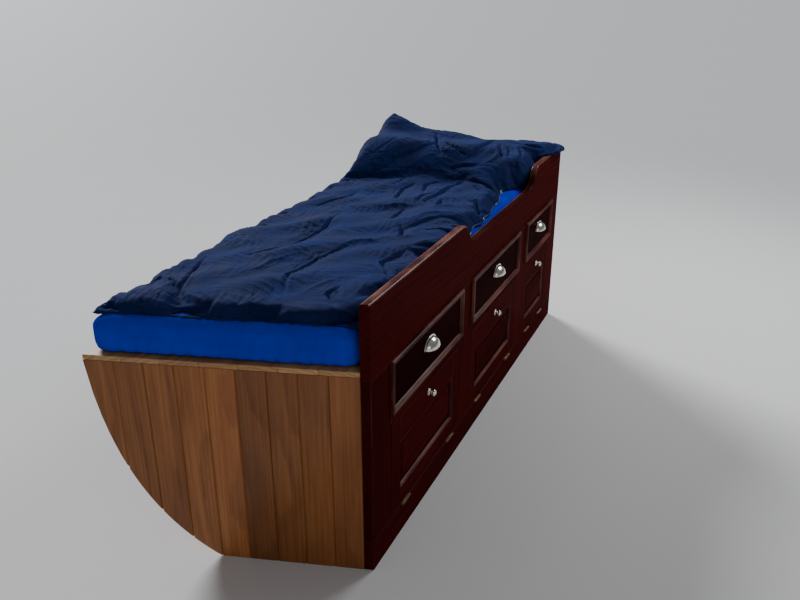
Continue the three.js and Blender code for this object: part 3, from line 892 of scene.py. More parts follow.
knob = {
    "foot": [(0.0, 0.0), (0.011, 0.0), (0.011, 0.0010), (0.0102, 0.0018), (0.0078, 0.0022), (0.0056, 0.0032),
             (0.0046, 0.0055), (0.0048, 0.0080), (0.0066, 0.0108)],
    "ball": (0.0062, 0.0162, 0.0045), "tip": 0.0040, "tipEase": 0.0008,
}


def flapKnob(bay):
    node = "flap_knob_" + bay
    low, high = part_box(node)
    reach = high.y - low.y
    middle, along, radius = knob["ball"]
    profile = knob["foot"] + arcPoints((middle, along), radius, -60, 80, 8)
    bm = spun(profile + [(knob["tip"], reach - knob["tipEase"]), (0.0, reach)])
    quarterTurn(bm, "X")
    moveBy(bm, ((low.x + high.x) / 2, high.y, (low.z + high.z) / 2))
    pieceOf(node + "_turned", bm, "brass", "flap_" + bay, [node], sharp=50, weighted=False)


hinge = {"knuckles": 5, "gap": 0.0002, "ease": 0.0004, "leaf": 0.0024, "leafEase": 0.0003}


def hingeParts(bay, side):
    node = "hinge_" + bay + "_" + side
    low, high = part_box(node)
    radius = (high.z - low.z) / 2
    step = (high.x - low.x) / hinge["knuckles"]
    gap, ease = hinge["gap"], hinge["ease"]
    whole = bmesh.new()
    for i in range(hinge["knuckles"]):
        half = [(0.0, gap), (radius - ease, gap), (radius, gap + ease)]
        barrel = spun(half + [(r, step - along) for r, along in reversed(half)], 24)
        quarterTurn(barrel, "Y")
        moveBy(barrel, (low.x + i * step, low.y + radius, low.z + radius))
        addTo(whole, barrel)
    foot = low.z + radius - hinge["leaf"] / 2
    leaf = boardOf((low.x, low.y + radius, foot), (high.x, high.y, foot + hinge["leaf"]), "x", node,
                   hinge["leafEase"], segments=1)
    addTo(whole, leaf)
    pieceOf(node + "_knuckles", whole, "dullBrass", carcase, [node], sharp=50, weighted=False)


for bay in bays:
    flapFrame(bay)
    flapPanel(bay)
    flapKnob(bay)
    for side in ("aft", "fore"):
        hingeParts(bay, side)
print("stage: flaps")


# Behind the front: pine timbers, planked ends, boards under the mattress
planks = {
    "hull": ((0.420, 0.0), (0.690, 0.170), (0.730, 0.600)),   # the hull's curve, outboard and up
    "front": 0.0263, "back": 0.730, "top": 0.5997, "thick": 0.0187, "ends": 9, "vee": 0.0032,
    "gap": 0.0001, "shortest": 0.02, "boards": 7, "boardGap": 0.0004, "boardEase": 0.0012, "halvings": 30,
}


def hullHeight(v):
    a, b, c = planks["hull"]
    if v <= a[0]:
        return 0.0
    low, high = 0.0, 1.0
    for _ in range(planks["halvings"]):
        t = (low + high) / 2
        there = (1 - t) ** 2 * a[0] + 2 * t * (1 - t) * b[0] + t * t * c[0]
        if there < v:
            low = t
        else:
            high = t
    return (1 - t) ** 2 * a[1] + 2 * t * (1 - t) * b[1] + t * t * c[1]


def endPanel(node, u):
    # upright boards with a vee at each joint, cut to the hull along their feet
    whole = bmesh.new()
    wide = (planks["back"] - planks["front"]) / planks["ends"]
    for i in range(planks["ends"]):
        v0 = planks["front"] + i * wide + planks["gap"]
        v1 = v0 + wide - 2 * planks["gap"]
        points = [(v, hullHeight(v)) for v in [mixed(v0, v1, k / 6) for k in range(7)]]
        points += [(v1, planks["top"]), (v0, planks["top"])]
        bm = plainLoft([rowPoint(u, v, z) for v, z in points], (planks["thick"], 0, 0))
        upright = [edge for edge in levelEdges(bm, 1) if edge.calc_length() > planks["shortest"]]
        markBoard(bm, "z", node + str(i), bevelled(bm, upright, planks["vee"], 1))
        addTo(whole, bm)
    pieceOf(node + "_planks", whole, "panelling", carcase, [node], sharp=30)


def berthBoard(node):
    low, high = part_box(node)
    whole = bmesh.new()
    wide = (high.y - low.y) / planks["boards"]
    aft, fore = node.endswith("aft"), node.endswith("fore")
    for i in range(planks["boards"]):
        y0 = low.y + i * wide + planks["boardGap"]
        y1 = low.y + (i + 1) * wide - planks["boardGap"]
        x0 = berth["aft"] - (y1 - berth["front"]) * berth["skew"] if aft else low.x
        x1 = berth["fore"] - (y0 - berth["front"]) * berth["skew"] if fore else high.x
        board = boardOf((x0, y0, low.z), (x1, y1, high.z), "x", node + str(i), planks["boardEase"], aft, fore)
        addTo(whole, board)
    pieceOf(node + "_slats", whole, "pine", carcase, [node])


# Pieces that keep their own mesh
kept = {"floor_board": "pineAlong", "partition_aft": "pineUpright", "partition_fore": "pineUpright"}


def carcaseTimbers():
    for node in ("front_bearer", "hull_bearer", "back_rail", "back_sill"):
        nodeBoard(node, "x", "pine", 0.002, True, True)
    for bay in bays:
        for side in ("aft", "fore"):
            nodeBoard("runner_" + bay + "_" + side, "y", "pine", 0.001)
    endPanel("end_panel_aft", 0.0)
    endPanel("end_panel_fore", berthLong - planks["thick"])
    for bay in bays:
        berthBoard("berth_board_" + bay)
    for node, finish in kept.items():
        nodes[node].data.materials.clear()
        nodes[node].data.materials.append(finishes[finish])


carcaseTimbers()
print("stage: carcase")


# Bedding: padded pieces, remeshed, blown up a little as cloth, and divided
clothValues = {
    "quality": 5, "mass": 0.25, "air_damping": 4, "shear_stiffness": 5, "use_pressure": True,
    "vertex_group_mass": "held", "pin_stiffness": 1.0,
}


def applied(made):
    shown = made.evaluated_get(bpy.context.evaluated_depsgraph_get())
    data = bpy.data.meshes.new_from_object(shown)
    made.modifiers.clear()
    old = made.data
    made.data = data
    bpy.data.meshes.remove(old)
    return made


def looseObject(name, bm):
    return linked(name, meshFrom(bm, name))


def remeshed(made, voxel):
    change = made.modifiers.new("remesh", "REMESH")
    change.mode = "VOXEL"
    change.voxel_size = voxel
    change.use_smooth_shade = True
    return applied(made)


def simulated(made, settings, held):
    # held: the cloth's pinned share at a vertex
    start = [vert.co.copy() for vert in made.data.vertices]
    group = made.vertex_groups.new(name="held")
    for vert in made.data.vertices:
        share = held(vert.co)
        if share > 0:
            group.add([vert.index], share, "REPLACE")
    cloth = made.modifiers.new("cloth", "CLOTH")
    values = cloth.settings
    for name, value in clothValues.items():
        setattr(values, name, value)
    values.tension_stiffness = values.compression_stiffness = settings["tension"]
    values.bending_stiffness = settings["bending"]
    values.uniform_pressure_force = settings["pressure"]
    values.shrink_min = settings["growth"]
    values.effector_weights.gravity = 0
    cloth.collision_settings.use_collision = False
    cloth.point_cache.frame_start = 1
    cloth.point_cache.frame_end = settings["frames"]
    scene = bpy.context.scene
    for step in range(1, settings["frames"] + 1):
        scene.frame_set(step)
    applied(made)
    scene.frame_set(1)
    cap = settings["cap"]
    for vert, old in zip(made.data.vertices, start):
        moved = vert.co - old
        if moved.length > cap:
            vert.co = old + moved * (cap / moved.length)


def divided(made):
    change = made.modifiers.new("divide", "SUBSURF")
    change.levels = change.render_levels = 1
    applied(made)


def softPiece(made, finish, node):
    made.data.materials.append(finishes[finish])
    for face in made.data.polygons:
        face.use_smooth = True
    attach(made, carcase)
    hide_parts(node)


mattress = {
    "front": 0.030, "back": 0.724, "end": 0.006, "corner": 0.045, "round": 0.020, "in": 0.003, "voxel": 0.013,
    "pressure": 2.5, "growth": -0.012, "cap": 0.009, "frames": 14, "tension": 20, "bending": 0.6,
    "heldTo": 0.012, "pucker": 0.0040, "puckers": 170, "gathered": (0.005, 0.085), "sides": (0.5, 0.95),
    "bend": 3, "bends": 9, "drift": 0.0016, "driftsAlong": 6, "driftsUp": 14,
    "spreads": 0.002, "clear": 0.001, "fill": 0.9,
}


def mattressPad():
    given = mattress
    low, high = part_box("mattress")
    inside = given["in"]
    end = given["end"] + inside
    bm = blockOf(Vector((end, given["front"] + inside, low.z)),
                 Vector((berthLong - end, given["back"] - inside, high.z - inside)))
    level = levelEdges(bm, 2)
    bevelled(bm, [edge for edge in bm.edges if edge not in level], given["corner"], 6)
    bevelled(bm, levelEdges(bm, 2), given["round"], 4)
    for vert in bm.verts:
        vert.co = rowPoint(*vert.co)
    made = remeshed(looseObject("mattress_sheet", bm), given["voxel"])
    simulated(made, given, lambda co: 1.0 if co.z < low.z + given["heldTo"] else 0.0)
    # the fitted sheet's elastic gathers it towards the foot of each side
    gatheredLow, gatheredHigh = [low.z + rise for rise in given["gathered"]]
    bends, along, up = [given[key] for key in ("bends", "driftsAlong", "driftsUp")]
    for vert in made.data.vertices:
        u, v = rowPlace(vert.co.x, vert.co.y)
        down = 1 - smoothStep(gatheredLow, gatheredHigh, vert.co.z)
        side = smoothStep(*given["sides"], math.hypot(vert.normal.x, vert.normal.y))
        bend = given["bend"] * noise.noise(Vector((u * bends, v * bends, 0)))
        wave = math.sin((u + v) * given["puckers"] + bend)
        drift = noise.noise(Vector((u * along, v * along, vert.co.z * up))) * given["drift"]
        vert.co += vert.normal * (down * side * wave * given["pucker"] + drift)
        v = min(max(vert.co.y - berth["front"], given["front"]), given["back"] + given["spreads"])
        u = min(max(vert.co.x - berth["aft"] + v * berth["skew"], given["clear"]), berthLong - given["clear"])
        vert.co = rowPoint(u, v, max(vert.co.z, low.z))
    divided(made)
    softPiece(made, "sheet", "mattress")


mattressPad()
print("stage: mattress")


# The duvet, laid out on the unslanted berth
duvet = {
    "aftEnd": 0.045, "foreEnd": 0.008, "front": 0.031, "back": 0.725, "thick": 0.044, "edge": 0.045,
    "hullEdge": 0.024, "leastEdge": 0.35, "leastTall": 0.010, "rest": 0.026, "restDeep": 0.080,
    "outset": 0.0060,
    "pile": (0.560, 0.260, 0.069, 0.060), "dip": (0.017, 0.36, 0.13), "heap": (0.076, 0.088),
    "grid": (204, 86), "rows": 1.3, "voxel": 0.0085, "in": 0.022, "foot": 0.0008,
    "pressure": 3.0, "growth": -0.07, "cap": 0.024, "frames": 22, "tension": 12, "bending": 0.3,
    "broad": (0.6, 0.9, 0.62), "sharp": 0.0048, "lip": 0.30, "crest": 0.0045, "crestTall": 0.38, "fill": 0.35,
}
# Where it climbs over the leeboard's fore shoulder and hangs out of the front, and the roll of its edge there
overhang = {
    "climbs": 1.690, "hangs": 1.770, "out": -0.026, "turns": 1.855, "turned": 0.016,
    "half": 0.011, "roll": 1.4, "endRoll": 1.2, "droop": 0.009, "droops": (-0.022, 0.012),
}
# Where the front hem lies along the scoop, and the soft waves of the filling: how tall, how often along and
# across, and where each starts
hemLine = [(0.700, 0.031), (0.760, 0.038), (0.804, 0.042), (0.881, 0.050), (0.944, 0.064), (1.000, 0.050),
           (1.060, 0.066), (1.115, 0.058), (1.150, 0.067), (1.210, 0.077), (1.281, 0.080), (1.324, 0.089),
           (1.360, 0.097), (1.404, 0.110), (1.430, 0.098), (1.452, 0.085), (1.490, 0.070), (1.516, 0.054),
           (1.545, 0.031)]
waves = [(0.0060, 18.2, 18.2, 0.0, 4.2, -8.3, 0.0), (0.0040, 11.0, -19.0, 1.3, 0.0, 0.0, 1.57),
         (0.0035, 31.0, 12.0, 2.1, 7.0, 17.0, 0.4)]
# Creases in the cover: points along each, how deep it is and how wide
creases = [
    ([(1.091, 0.381), (1.172, 0.401), (1.262, 0.418), (1.325, 0.398)], 0.010, 0.012),
    ([(1.083, 0.298), (1.110, 0.300), (1.160, 0.306), (1.205, 0.290)], 0.010, 0.009),
    ([(1.080, 0.270), (1.155, 0.266), (1.226, 0.266), (1.344, 0.268), (1.430, 0.249)], 0.014, 0.012),
    ([(1.200, 0.321), (1.332, 0.359), (1.388, 0.343), (1.425, 0.290), (1.446, 0.244)], 0.012, 0.012),
    ([(1.306, 0.466), (1.389, 0.459), (1.448, 0.427), (1.500, 0.380)], 0.012, 0.013),
    ([(1.430, 0.600), (1.515, 0.545), (1.560, 0.490), (1.630, 0.440)], 0.014, 0.015),
    ([(1.520, 0.640), (1.579, 0.605), (1.642, 0.588)], 0.010, 0.013),
    ([(1.806, 0.491), (1.700, 0.450), (1.625, 0.423), (1.560, 0.385)], 0.014, 0.013),
    ([(1.484, 0.319), (1.500, 0.283), (1.497, 0.224)], 0.012, 0.011),
    ([(1.530, 0.290), (1.573, 0.264), (1.633, 0.255), (1.701, 0.247), (1.790, 0.250)], 0.014, 0.014),
    ([(1.509, 0.186), (1.523, 0.172), (1.579, 0.162), (1.620, 0.168)], 0.010, 0.009),
    ([(1.722, 0.201), (1.617, 0.172), (1.584, 0.150)], 0.010, 0.009),
    ([(1.708, 0.165), (1.640, 0.142), (1.581, 0.130)], 0.010, 0.008),
    ([(1.710, 0.122), (1.623, 0.090), (1.585, 0.083)], 0.009, 0.009),
    ([(1.800, 0.180), (1.760, 0.120), (1.752, 0.050)], 0.012, 0.010),
    ([(1.270, 0.570), (1.331, 0.530), (1.340, 0.471)], 0.008, 0.014),
    ([(1.026, 0.208), (1.067, 0.216), (1.129, 0.228)], 0.009, 0.009),
    ([(0.770, 0.216), (0.804, 0.202), (0.828, 0.190), (0.863, 0.176), (0.893, 0.150), (0.900, 0.110)],
     0.009, 0.011),
    ([(0.734, 0.062), (0.741, 0.082), (0.749, 0.115), (0.743, 0.140)], 0.009, 0.009),
    ([(0.679, 0.204), (0.697, 0.203), (0.732, 0.213), (0.763, 0.226), (0.790, 0.240)], 0.010, 0.011),
    ([(0.863, 0.301), (0.938, 0.308), (0.993, 0.309)], 0.009, 0.016),
    ([(0.797, 0.092), (0.812, 0.070), (0.850, 0.062)], 0.008, 0.009),
    ([(1.157, 0.121), (1.095, 0.093), (1.040, 0.075)], 0.008, 0.010),
    ([(1.345, 0.185), (1.290, 0.140), (1.262, 0.100)], 0.010, 0.010),
    ([(1.557, 0.292), (1.611, 0.355), (1.656, 0.404)], 0.010, 0.011),
    ([(0.420, 0.520), (0.560, 0.470), (0.720, 0.455), (0.880, 0.480)], 0.011, 0.020),
    ([(0.180, 0.300), (0.300, 0.350), (0.430, 0.340), (0.540, 0.300)], 0.011, 0.020),
    ([(0.980, 0.600), (1.080, 0.560), (1.190, 0.560)], 0.010, 0.016),
    ([(0.150, 0.560), (0.260, 0.600), (0.400, 0.640)], 0.010, 0.018),
    ([(0.330, 0.090), (0.430, 0.150), (0.560, 0.130)], 0.010, 0.016),
    ([(0.100, 0.130), (0.170, 0.180), (0.220, 0.170)], 0.009, 0.014),
]
# Crests, steeper to the right of their direction: points along each, how tall it is and how wide
crests = [
    ([(0.844, 0.300), (0.850, 0.260), (0.853, 0.236), (0.870, 0.223), (0.891, 0.214), (0.913, 0.204),
      (0.925, 0.185), (0.934, 0.157), (0.937, 0.126), (0.950, 0.106), (0.977, 0.100), (1.009, 0.109)],
     0.013, 0.016),
    ([(0.700, 0.195), (0.721, 0.176), (0.749, 0.169), (0.762, 0.156), (0.760, 0.125)], 0.010, 0.013),
    ([(0.665, 0.215), (0.673, 0.196), (0.678, 0.175), (0.698, 0.160)], 0.009, 0.013),
    ([(0.600, 0.140), (0.618, 0.120), (0.635, 0.091), (0.652, 0.080)], 0.009, 0.012),
    ([(1.010, 0.410), (1.018, 0.371), (1.034, 0.340), (1.031, 0.305), (1.027, 0.285)], 0.010, 0.014),
    ([(1.018, 0.235), (1.006, 0.205), (1.030, 0.188), (1.045, 0.165)], 0.009, 0.012),
    ([(1.480, 0.470), (1.530, 0.440), (1.560, 0.400)], 0.008, 0.014),
    ([(0.520, 0.330), (0.580, 0.300), (0.620, 0.250), (0.690, 0.240)], 0.010, 0.016),
    ([(0.250, 0.470), (0.330, 0.440), (0.400, 0.450), (0.480, 0.410)], 0.010, 0.018),
    ([(0.160, 0.250), (0.230, 0.230), (0.300, 0.190)], 0.009, 0.016),
]


# Their sections, in widths of the fold: the powers of the falls, a shoulder's height, place and spread, the
# softer side of a crest, and how near an end each has died out
fold = {
    "furrow": 1.2, "shoulder": (0.35, 2.6, 1.6), "crest": 1.3, "lee": 2.4, "end": 0.06,
    "line": 1.3, "lipAt": 2.4, "lineEnd": 0.03, "lineEnds": 0.6, "upward": 0.2,
}


def duvetFront(u):
    front = mixed(duvet["front"], overhang["out"], smoothStep(overhang["climbs"], overhang["hangs"], u))
    turned = np.clip((u - overhang["turns"]) / (berthLong - overhang["turns"]), 0, 1)
    front = front + overhang["turned"] * turned ** 2
    for (u0, v0), (u1, v1) in zip(hemLine, hemLine[1:]):
        front = np.where((u >= u0) & (u < u1), mixed(v0, v1, smoothStep(u0, u1, u)), front)
    return front


def duvetFloor(front, v):
    # the mattress, or the leeboard's shoulder where the edge has climbed over it
    rest = duvet["rest"]
    onShoulder = np.where(front > rest, 0.0, 1 - smoothStep(rest, duvet["restDeep"], v))
    return mixed(berth["mattressTop"], berth["shoulder"], onShoulder)


def duvetTop(u, v):
    start, full, tall, hull = duvet["pile"]
    piled = (tall + hull * v / berthDeep) * smoothStep(berthLong - start, berthLong - full, u)
    deep, middle, wide = duvet["dip"]
    piled = piled - deep * np.exp(-(((v - middle) / wide) ** 2)) * smoothStep(berthLong - full, berthLong, u)
    tall, wide = duvet["heap"]
    reach = np.hypot(u - berthLong, v - berthDeep) / wide
    heaped = tall * np.exp(-reach * reach / 2)
    waved = 0
    for height, a, b, c, d, e, f in waves:
        waved = waved + height * np.sin(a * u + b * v + c) * np.sin(d * u + e * v + f)
    return berth["mattressTop"] + duvet["thick"] + piled + heaped + waved


def fromLine(points, u, v):
    # how far each place is from a line of points, how far along the line, from 0 to 1, and on which side
    away = np.full(len(u), 9.0)
    along = np.zeros(len(u))
    side = np.zeros(len(u))
    for i, (a, b) in enumerate(zip(points, points[1:])):
        du, dv = b[0] - a[0], b[1] - a[1]
        t = np.clip(((u - a[0]) * du + (v - a[1]) * dv) / (du * du + dv * dv), 0, 1)
        far = np.hypot(u - a[0] - t * du, v - a[1] - t * dv)
        nearer = far < away
        away = np.where(nearer, far, away)
        along = np.where(nearer, (i + t) / (len(points) - 1), along)
        side = np.where(nearer, du * (v - a[1]) - dv * (u - a[0]), side)
    return away, along, side


def endsOf(along, least):
    # a share that falls towards both ends of a line
    return np.sin(np.pi * np.clip(along, least, 1 - least))


def creased(u, v):
    # a crease is a narrow furrow between two low shoulders; both kinds die out at their ends
    fall = np.zeros(len(u))
    deeper, wider, taller = duvet["broad"]
    shoulder, away, spread = fold["shoulder"]
    for points, deep, wide in creases:
        far, along, _ = fromLine(points, u, v)
        near = far / (wide * wider)
        furrow = np.exp(-(near ** fold["furrow"])) - shoulder * np.exp(-((near - away) ** 2) / spread)
        fall += deep * deeper * np.sqrt(endsOf(along, fold["end"])) * furrow
    for points, tall, wide in crests:
        far, along, side = fromLine(points, u, v)
        near = far / np.where(side < 0, wide, fold["lee"] * wide)
        fall -= tall * taller * np.sqrt(endsOf(along, fold["end"])) * np.exp(-(near ** fold["crest"]))
    return fall


def rollAt(u, v, front):
    # the roll of the hanging edge: its middle height, and its share of full thickness at a place
    half = overhang["half"]
    toFore = overhang["endRoll"] * (berthLong - duvet["foreEnd"] - u)
    toEnd = np.minimum(v - front, np.where(v < duvet["front"], toFore, 1.0))
    share = np.sqrt(1 - (1 - np.clip(toEnd / (overhang["roll"] * half), 0, 1)) ** 2)
    droop = overhang["droop"] * (1 - smoothStep(*overhang["droops"], v))
    return berth["shoulder"] + half - droop, share


def placeKey(vert):
    return round(vert.co.x, 5), round(vert.co.y, 5)


def duvetBlanket():
    given = duvet
    aft, back, edge = given["aftEnd"], given["back"], given["edge"]
    acrossX, acrossY = given["grid"]
    bm = bmesh.new()
    bmesh.ops.create_grid(bm, x_segments=acrossX, y_segments=acrossY, size=0.5)
    spots = np.array([vert.co for vert in bm.verts])
    u = aft + (spots[:, 0] + 0.5) * (berthLong - given["foreEnd"] - aft)
    hem = duvetFront(u)
    front = np.maximum(hem - given["outset"], np.minimum(hem, given["front"]))
    v = mixed(front, back, (spots[:, 1] + 0.5) ** given["rows"])
    toEdge = np.minimum(np.minimum(v - front, u - aft), (back - v) * edge / given["hullEdge"])
    full = np.maximum(np.sqrt(np.clip(toEdge / edge, 0, 1)), given["leastEdge"])
    floor = duvetFloor(front, v)
    top = floor + (duvetTop(u, v) - given["in"] - creased(u, v) - floor) * full
    top = np.maximum(top, floor + given["leastTall"])
    middle, share = rollAt(u, v, front)
    hanging = smoothStep(overhang["climbs"], overhang["hangs"], u)
    top = mixed(top, mixed(middle, top, share), hanging)
    foot = berth["mattressTop"] + given["foot"]
    under = np.where(v < given["front"], middle - overhang["half"] * share, foot)
    below = {}
    for i, vert in enumerate(bm.verts):
        vert.co = rowPoint(u[i], v[i], top[i])
        below[placeKey(vert)] = under[i]
    for vert in drawnOut(bm, bm.faces[:]):
        vert.co.z = below[placeKey(vert)]
    bmesh.ops.recalc_face_normals(bm, faces=bm.faces)
    return looseObject("duvet_cover", bm)


# How it meets the leeboard and the mattress: the board's face and back, and how near counts as lying on them;
# the room left behind and above the board, above the mattress, aft, at the hull and at the fore bulkhead; how
# far down the shoulder's sides and how far aft of its rise the cloth is lifted on to it; how low it may hang
lying = {
    "front": -0.002, "back": 0.030, "near": 0.004, "behind": 0.0315, "above": 0.001, "off": 0.0006,
    "aft": 0.01, "hull": 0.004, "fore": 0.002, "down": 0.016, "before": 0.05, "low": 0.018,
}


def heldDown(co):
    # where it lies on the mattress, or on top of the leeboard
    near = lying["near"]
    overBoard = lying["front"] < co.y - berth["front"] < lying["back"]
    onBoard = overBoard and abs(co.z - berth["shoulder"]) < near
    return 1.0 if onBoard or co.z < berth["mattressTop"] + near else 0.0


def stayInside(co):
    # clear of the leeboard, the bulkheads, the hull and the mattress
    shoulder, behind = berth["shoulder"], lying["behind"]
    u, v = rowPlace(co.x, co.y)
    v = min(v, duvet["back"] + lying["hull"])
    u = min(max(u, duvet["aftEnd"] - lying["aft"]), berthLong - lying["fore"])
    z = max(co.z, berth["mattressTop"] + lying["off"])
    if lying["front"] < v < behind and z < shoulder + lying["above"]:
        if z > shoulder - lying["down"] and u > overhang["climbs"] - lying["before"]:
            z = shoulder + lying["above"]
        else:
            v = behind
    elif v <= lying["front"]:
        z = max(z, shoulder - lying["low"])
    return rowPoint(u, v, z)


def verticesOf(made, what):
    values = np.empty(len(made.data.vertices) * 3)
    made.data.vertices.foreach_get(what, values)
    return values.reshape(-1, 3)


def moveTo(made, spots):
    made.data.vertices.foreach_set("co", spots.ravel())
    made.data.update()


def sharpenCreases(made):
    # the line at the bottom of each crease and along each crest, which the filling can't make
    spots = verticesOf(made, "co")
    u, v = rowPlace(spots[:, 0], spots[:, 1])
    up = verticesOf(made, "normal")[:, 2] > fold["upward"]
    for points, deep, _ in creases:
        far, along, _ = fromLine(points, u, v)
        near = far / duvet["sharp"]
        drop = np.exp(-(near ** fold["line"])) - duvet["lip"] * np.exp(-((near - fold["lipAt"]) ** 2))
        spots[:, 2] -= up * deep * endsOf(along, fold["lineEnd"]) ** fold["lineEnds"] * drop
    for points, tall, _ in crests:
        far, along, _ = fromLine(points, u, v)
        rise = duvet["crestTall"] * tall * endsOf(along, fold["lineEnd"])
        spots[:, 2] += up * rise * np.exp(-far / duvet["crest"])
    moveTo(made, spots)


# Small wrinkles all over the cover, in three directions: how far apart, how long, their angle, and how tall
wrinkles = [(0.023, 0.120, 62, 0.0026), (0.018, 0.100, 8, 0.0022), (0.015, 0.070, 98, 0.0013)]


# Where they are stronger, how that bends them, and how narrow their ridges are
ripple = {"patches": 7, "bend": 0.9, "upright": 0.6, "sharp": 2.2, "uneven": 1.6, "least": 0.1}


def wrinkled(made):
    spots = verticesOf(made, "co")
    u, v = rowPlace(spots[:, 0], spots[:, 1])
    rise = np.zeros(len(spots))
    for k, (apart, long, angle, tall) in enumerate(wrinkles):
        turn = math.radians(angle)
        along = (u * math.cos(turn) + v * math.sin(turn)) / long
        across = (v * math.cos(turn) - u * math.sin(turn)) / apart
        for i in range(len(spots)):
            x, y, z = along[i], across[i], spots[i, 2] / apart
            patch = noise.noise(Vector((u[i] * ripple["patches"], v[i] * ripple["patches"], k * 9.0)))
            place = Vector((x, y + ripple["bend"] * patch, z * ripple["upright"] + k * 5))
            ridge = 1 - ripple["sharp"] * abs(noise.noise(place))
            if ridge > 0:
                strength = min(max(0.5 + ripple["uneven"] * patch, ripple["least"]), 1.0)
                rise[i] += tall * ridge * ridge * strength
    moveTo(made, spots + verticesOf(made, "normal") * rise[:, None])


# Trim sewn along the duvet's edge: a line of places just outside it, and where each meets the cover
trim = {
    "step": 0.004, "height": 0.0095, "from": 0.06, "reach": 0.3,
    "piping": 0.0021, "out": 0.0002, "aftAcross": (0.045, 0.707), "ends": 0.03, "weld": 1e-5, "passes": 3,
}


def stepped(start, end):
    made = []
    while start < end:
        made.append(start)
        start += trim["step"]
    return made


def edgeOf(cover, path, inward, height):
    tree = BVHTree.FromPolygons([vert.co for vert in cover.data.vertices],
                                [list(face.vertices) for face in cover.data.polygons])
    made = []
    for u, v in path:
        start = rowPoint(u, v, berth["mattressTop"] + height)
        way = (rowPoint(u + inward[0], v + inward[1], start.z) - start).normalized()
        hit, normal, _, _ = tree.ray_cast(start - way * trim["from"], way, trim["reach"])
        if hit is not None:
            made.append((hit, normal))
    return made


def rodAlong(name, points, radius):
    line = bpy.data.curves.new(name, "CURVE")
    line.dimensions = "3D"
    line.bevel_depth = radius
    line.bevel_resolution = 3
    line.use_fill_caps = True
    spline = line.splines.new("POLY")
    spline.points.add(len(points) - 1)
    for spot, point in zip(spline.points, points):
        spot.co = (*point, 1)
    rod = linked(name, line)
    data = bpy.data.meshes.new_from_object(rod.evaluated_get(bpy.context.evaluated_depsgraph_get()))
    bpy.data.objects.remove(rod)
    bm = bmesh.new()
    bm.from_mesh(data)
    bmesh.ops.remove_doubles(bm, verts=bm.verts, dist=trim["weld"])
    bmesh.ops.recalc_face_normals(bm, faces=bm.faces)
    return bm


zipFastener = {
    "from": 0.735, "to": 1.402, "height": 0.0054, "out": 0.0008, "passes": 7, "outPasses": 8,
    "tooth": (0.0012, 0.0034, 0.0034), "pitch": 0.0024,
    "slider": (0.0105, 0.0075, 0.0056), "sliderEase": 0.0008, "sliderFaces": (-0.3, -1, 0.4),
    "sliderOut": 0.004,
    "pull": 0.0038, "pullLong": 1.9, "pullThick": 0.0014, "pullFaces": (-0.7, -0.65, 0.3),
    "pullOut": 0.0055, "pullUp": 0.0060,
}


def smoothed(points, passes):
    for _ in range(passes):
        middle = [(a + 2 * b + c) / 4 for a, b, c in zip(points, points[1:], points[2:])]
        points = [points[0]] + middle + [points[-1]]
    return points


def laid(bm, spot, along, out):
    # its x along, and its z square to that, towards out
    up = out.cross(along).normalized()
    turn = Matrix((along, up, along.cross(up).normalized())).transposed().to_4x4()
    bmesh.ops.transform(bm, matrix=Matrix.Translation(spot) @ turn, verts=bm.verts)
    return bm


def zipTeeth(line, outs):
    # at an even pitch along the line, square to it
    whole = bmesh.new()
    half = Vector(zipFastener["tooth"]) / 2
    travelled = 0.0
    for first, last, out in zip(line, line[1:], outs[1:]):
        long = (last - first).length
        along = (last - first) / long
        while travelled < long:
            addTo(whole, laid(blockOf(-half, half), first + along * travelled, along, out))
            travelled += zipFastener["pitch"]
        travelled -= long
    return whole


def zipSlider(end, along):
    # the slider, and its pull standing against the cover
    given = zipFastener
    half = Vector(given["slider"]) / 2
    slider = blockOf(-half, half)
    bevelled(slider, slider.edges[:], given["sliderEase"])
    moveBy(slider, (0, 0, given["sliderOut"]))
    laid(slider, end, along, Vector(given["sliderFaces"]))
    pull = bmesh.new()
    bmesh.ops.create_circle(pull, cap_ends=True, segments=20, radius=given["pull"])
    bmesh.ops.scale(pull, vec=(given["pullLong"], 1, 1), verts=pull.verts)
    bmesh.ops.translate(pull, vec=(0, 0, given["pullThick"]), verts=drawnOut(pull, pull.faces[:]))
    bmesh.ops.recalc_face_normals(pull, faces=pull.faces)
    face = Vector(given["pullFaces"]).normalized()
    stand = (Vector((0, 0, 1)) - face * face.z).normalized()
    addTo(slider, laid(pull, end + face * given["pullOut"] + Vector((0, 0, given["pullUp"])), stand, face))
    return slider


def duvetZip(cover):
    given = zipFastener
    path = [(u, float(duvetFront(u))) for u in stepped(given["from"], given["to"])]
    found = edgeOf(cover, path, (0, 1), given["height"])
    outs = smoothed([normal for _, normal in found], given["outPasses"])
    line = smoothed([hit + normal * given["out"] for hit, normal in found], given["passes"])
    pieceOf("duvet_zip", zipTeeth(line, outs), "zip", carcase, weighted=False)
    slider = zipSlider(line[-1], (line[-1] - line[-4]).normalized())
    pieceOf("duvet_zip_pull", slider, "zipPullPaintedGlint", carcase, weighted=False)


def pipingAlong(cover, name, path, inward):
    found = edgeOf(cover, path, inward, trim["height"])
    line = smoothed([hit + normal * trim["out"] for hit, normal in found], trim["passes"])
    bm = rodAlong("piping", line, trim["piping"])
    pieceOf(name, bm, "duvet", carcase, weighted=False)


def duvetPiping(cover):
    # round the aft end and the hull side, where two panels of the cover are sewn together
    aft, fore = duvet["aftEnd"], berthLong - duvet["foreEnd"]
    pipingAlong(cover, "duvet_piping_aft", [(aft, v) for v in stepped(*trim["aftAcross"])], (1, 0))
    path = [(u, duvet["back"]) for u in stepped(aft + trim["ends"], fore - trim["ends"])]
    pipingAlong(cover, "duvet_piping_hull", path, (0, -1))


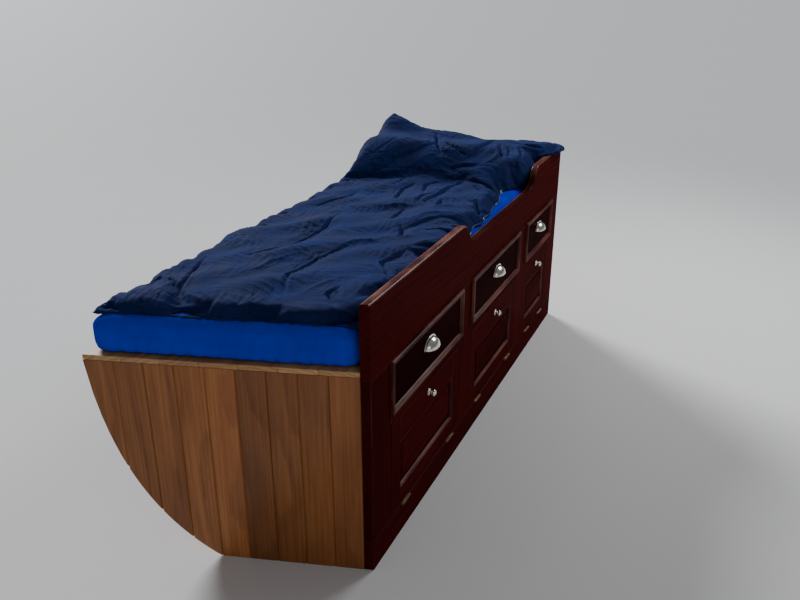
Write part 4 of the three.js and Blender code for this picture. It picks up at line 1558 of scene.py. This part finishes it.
def layDuvet():
    made = remeshed(duvetBlanket(), duvet["voxel"])
    simulated(made, duvet, heldDown)
    for vert in made.data.vertices:
        vert.co = stayInside(vert.co)
    divided(made)
    sharpenCreases(made)
    wrinkled(made)
    softPiece(made, "duvet", "duvet")
    return made


cover = layDuvet()
duvetZip(cover)
duvetPiping(cover)
print("stage: duvet")


# The floor, the backdrop and the lights
studio = {
    "floor": (0.70, 0.695, 0.685, 1), "wide": 80, "mottle": (1.2, 3.0), "darker": 0.97, "rough": 0.85,
    "world": (0.9, 0.93, 1.0, 1), "strength": 0.17,
    "key": (1.8, 2.6, 1.5), "keyAngle": 22, "keyStrength": 4.7, "keyColour": (0.95, 0.97, 1.0),
}
# Soft lights: where each is, where it faces, its size, its power and its colour
softLights = {
    "hatch": ((2.2, -1.3, 2.6), (0.1, 0, 0.7), (1.2, 1.0), 50, (0.95, 0.97, 1.0)),
    "skylight": ((-0.6, 0.6, 2.7), (0.6, -0.3, 0.75), (0.4, 0.4), 1.5, (1.0, 0.90, 0.86)),
    "doorway": ((-2.6, -2.6, 2.0), (0, -0.2, 0.4), (1.8, 1.6), 13, (1.0, 0.95, 0.92)),
}


def studioRoom():
    bm = bmesh.new()
    bmesh.ops.create_grid(bm, x_segments=1, y_segments=1, size=studio["wide"])
    floor = looseObject("floor", bm)
    paint, tree, shader = materialOf("floorPaint")
    tone = noiseOf(tree, ownPlace(tree), *studio["mottle"])
    darker = tuple(share * studio["darker"] for share in studio["floor"][:3]) + (1,)
    feed(tree, shader, Base_Color=mixOf(tree, tone, studio["floor"], darker))
    shader.inputs["Roughness"].default_value = studio["rough"]
    floor.data.materials.append(paint)
    world = bpy.data.worlds.new("studio")
    bpy.context.scene.world = world
    world.use_nodes = True
    back = world.node_tree.nodes["Background"]
    back.inputs["Color"].default_value = studio["world"]
    back.inputs["Strength"].default_value = studio["strength"]


def lightFrom(name, kind, colour, power, towards):
    data = bpy.data.lights.new(name, kind)
    data.color = colour
    data.energy = power
    made = linked(name, data)
    made.rotation_euler = Vector(towards).to_track_quat("Z", "Y").to_euler()
    return made


def lights():
    key = lightFrom("key", "SUN", studio["keyColour"], studio["keyStrength"], studio["key"])
    key.data.angle = math.radians(studio["keyAngle"])
    for name, (place, target, size, power, colour) in softLights.items():
        soft = lightFrom(name, "AREA", colour, power, Vector(place) - Vector(target))
        soft.location = place
        soft.data.shape = "RECTANGLE"
        soft.data.size, soft.data.size_y = size


studioRoom()
lights()
print("stage: studio")
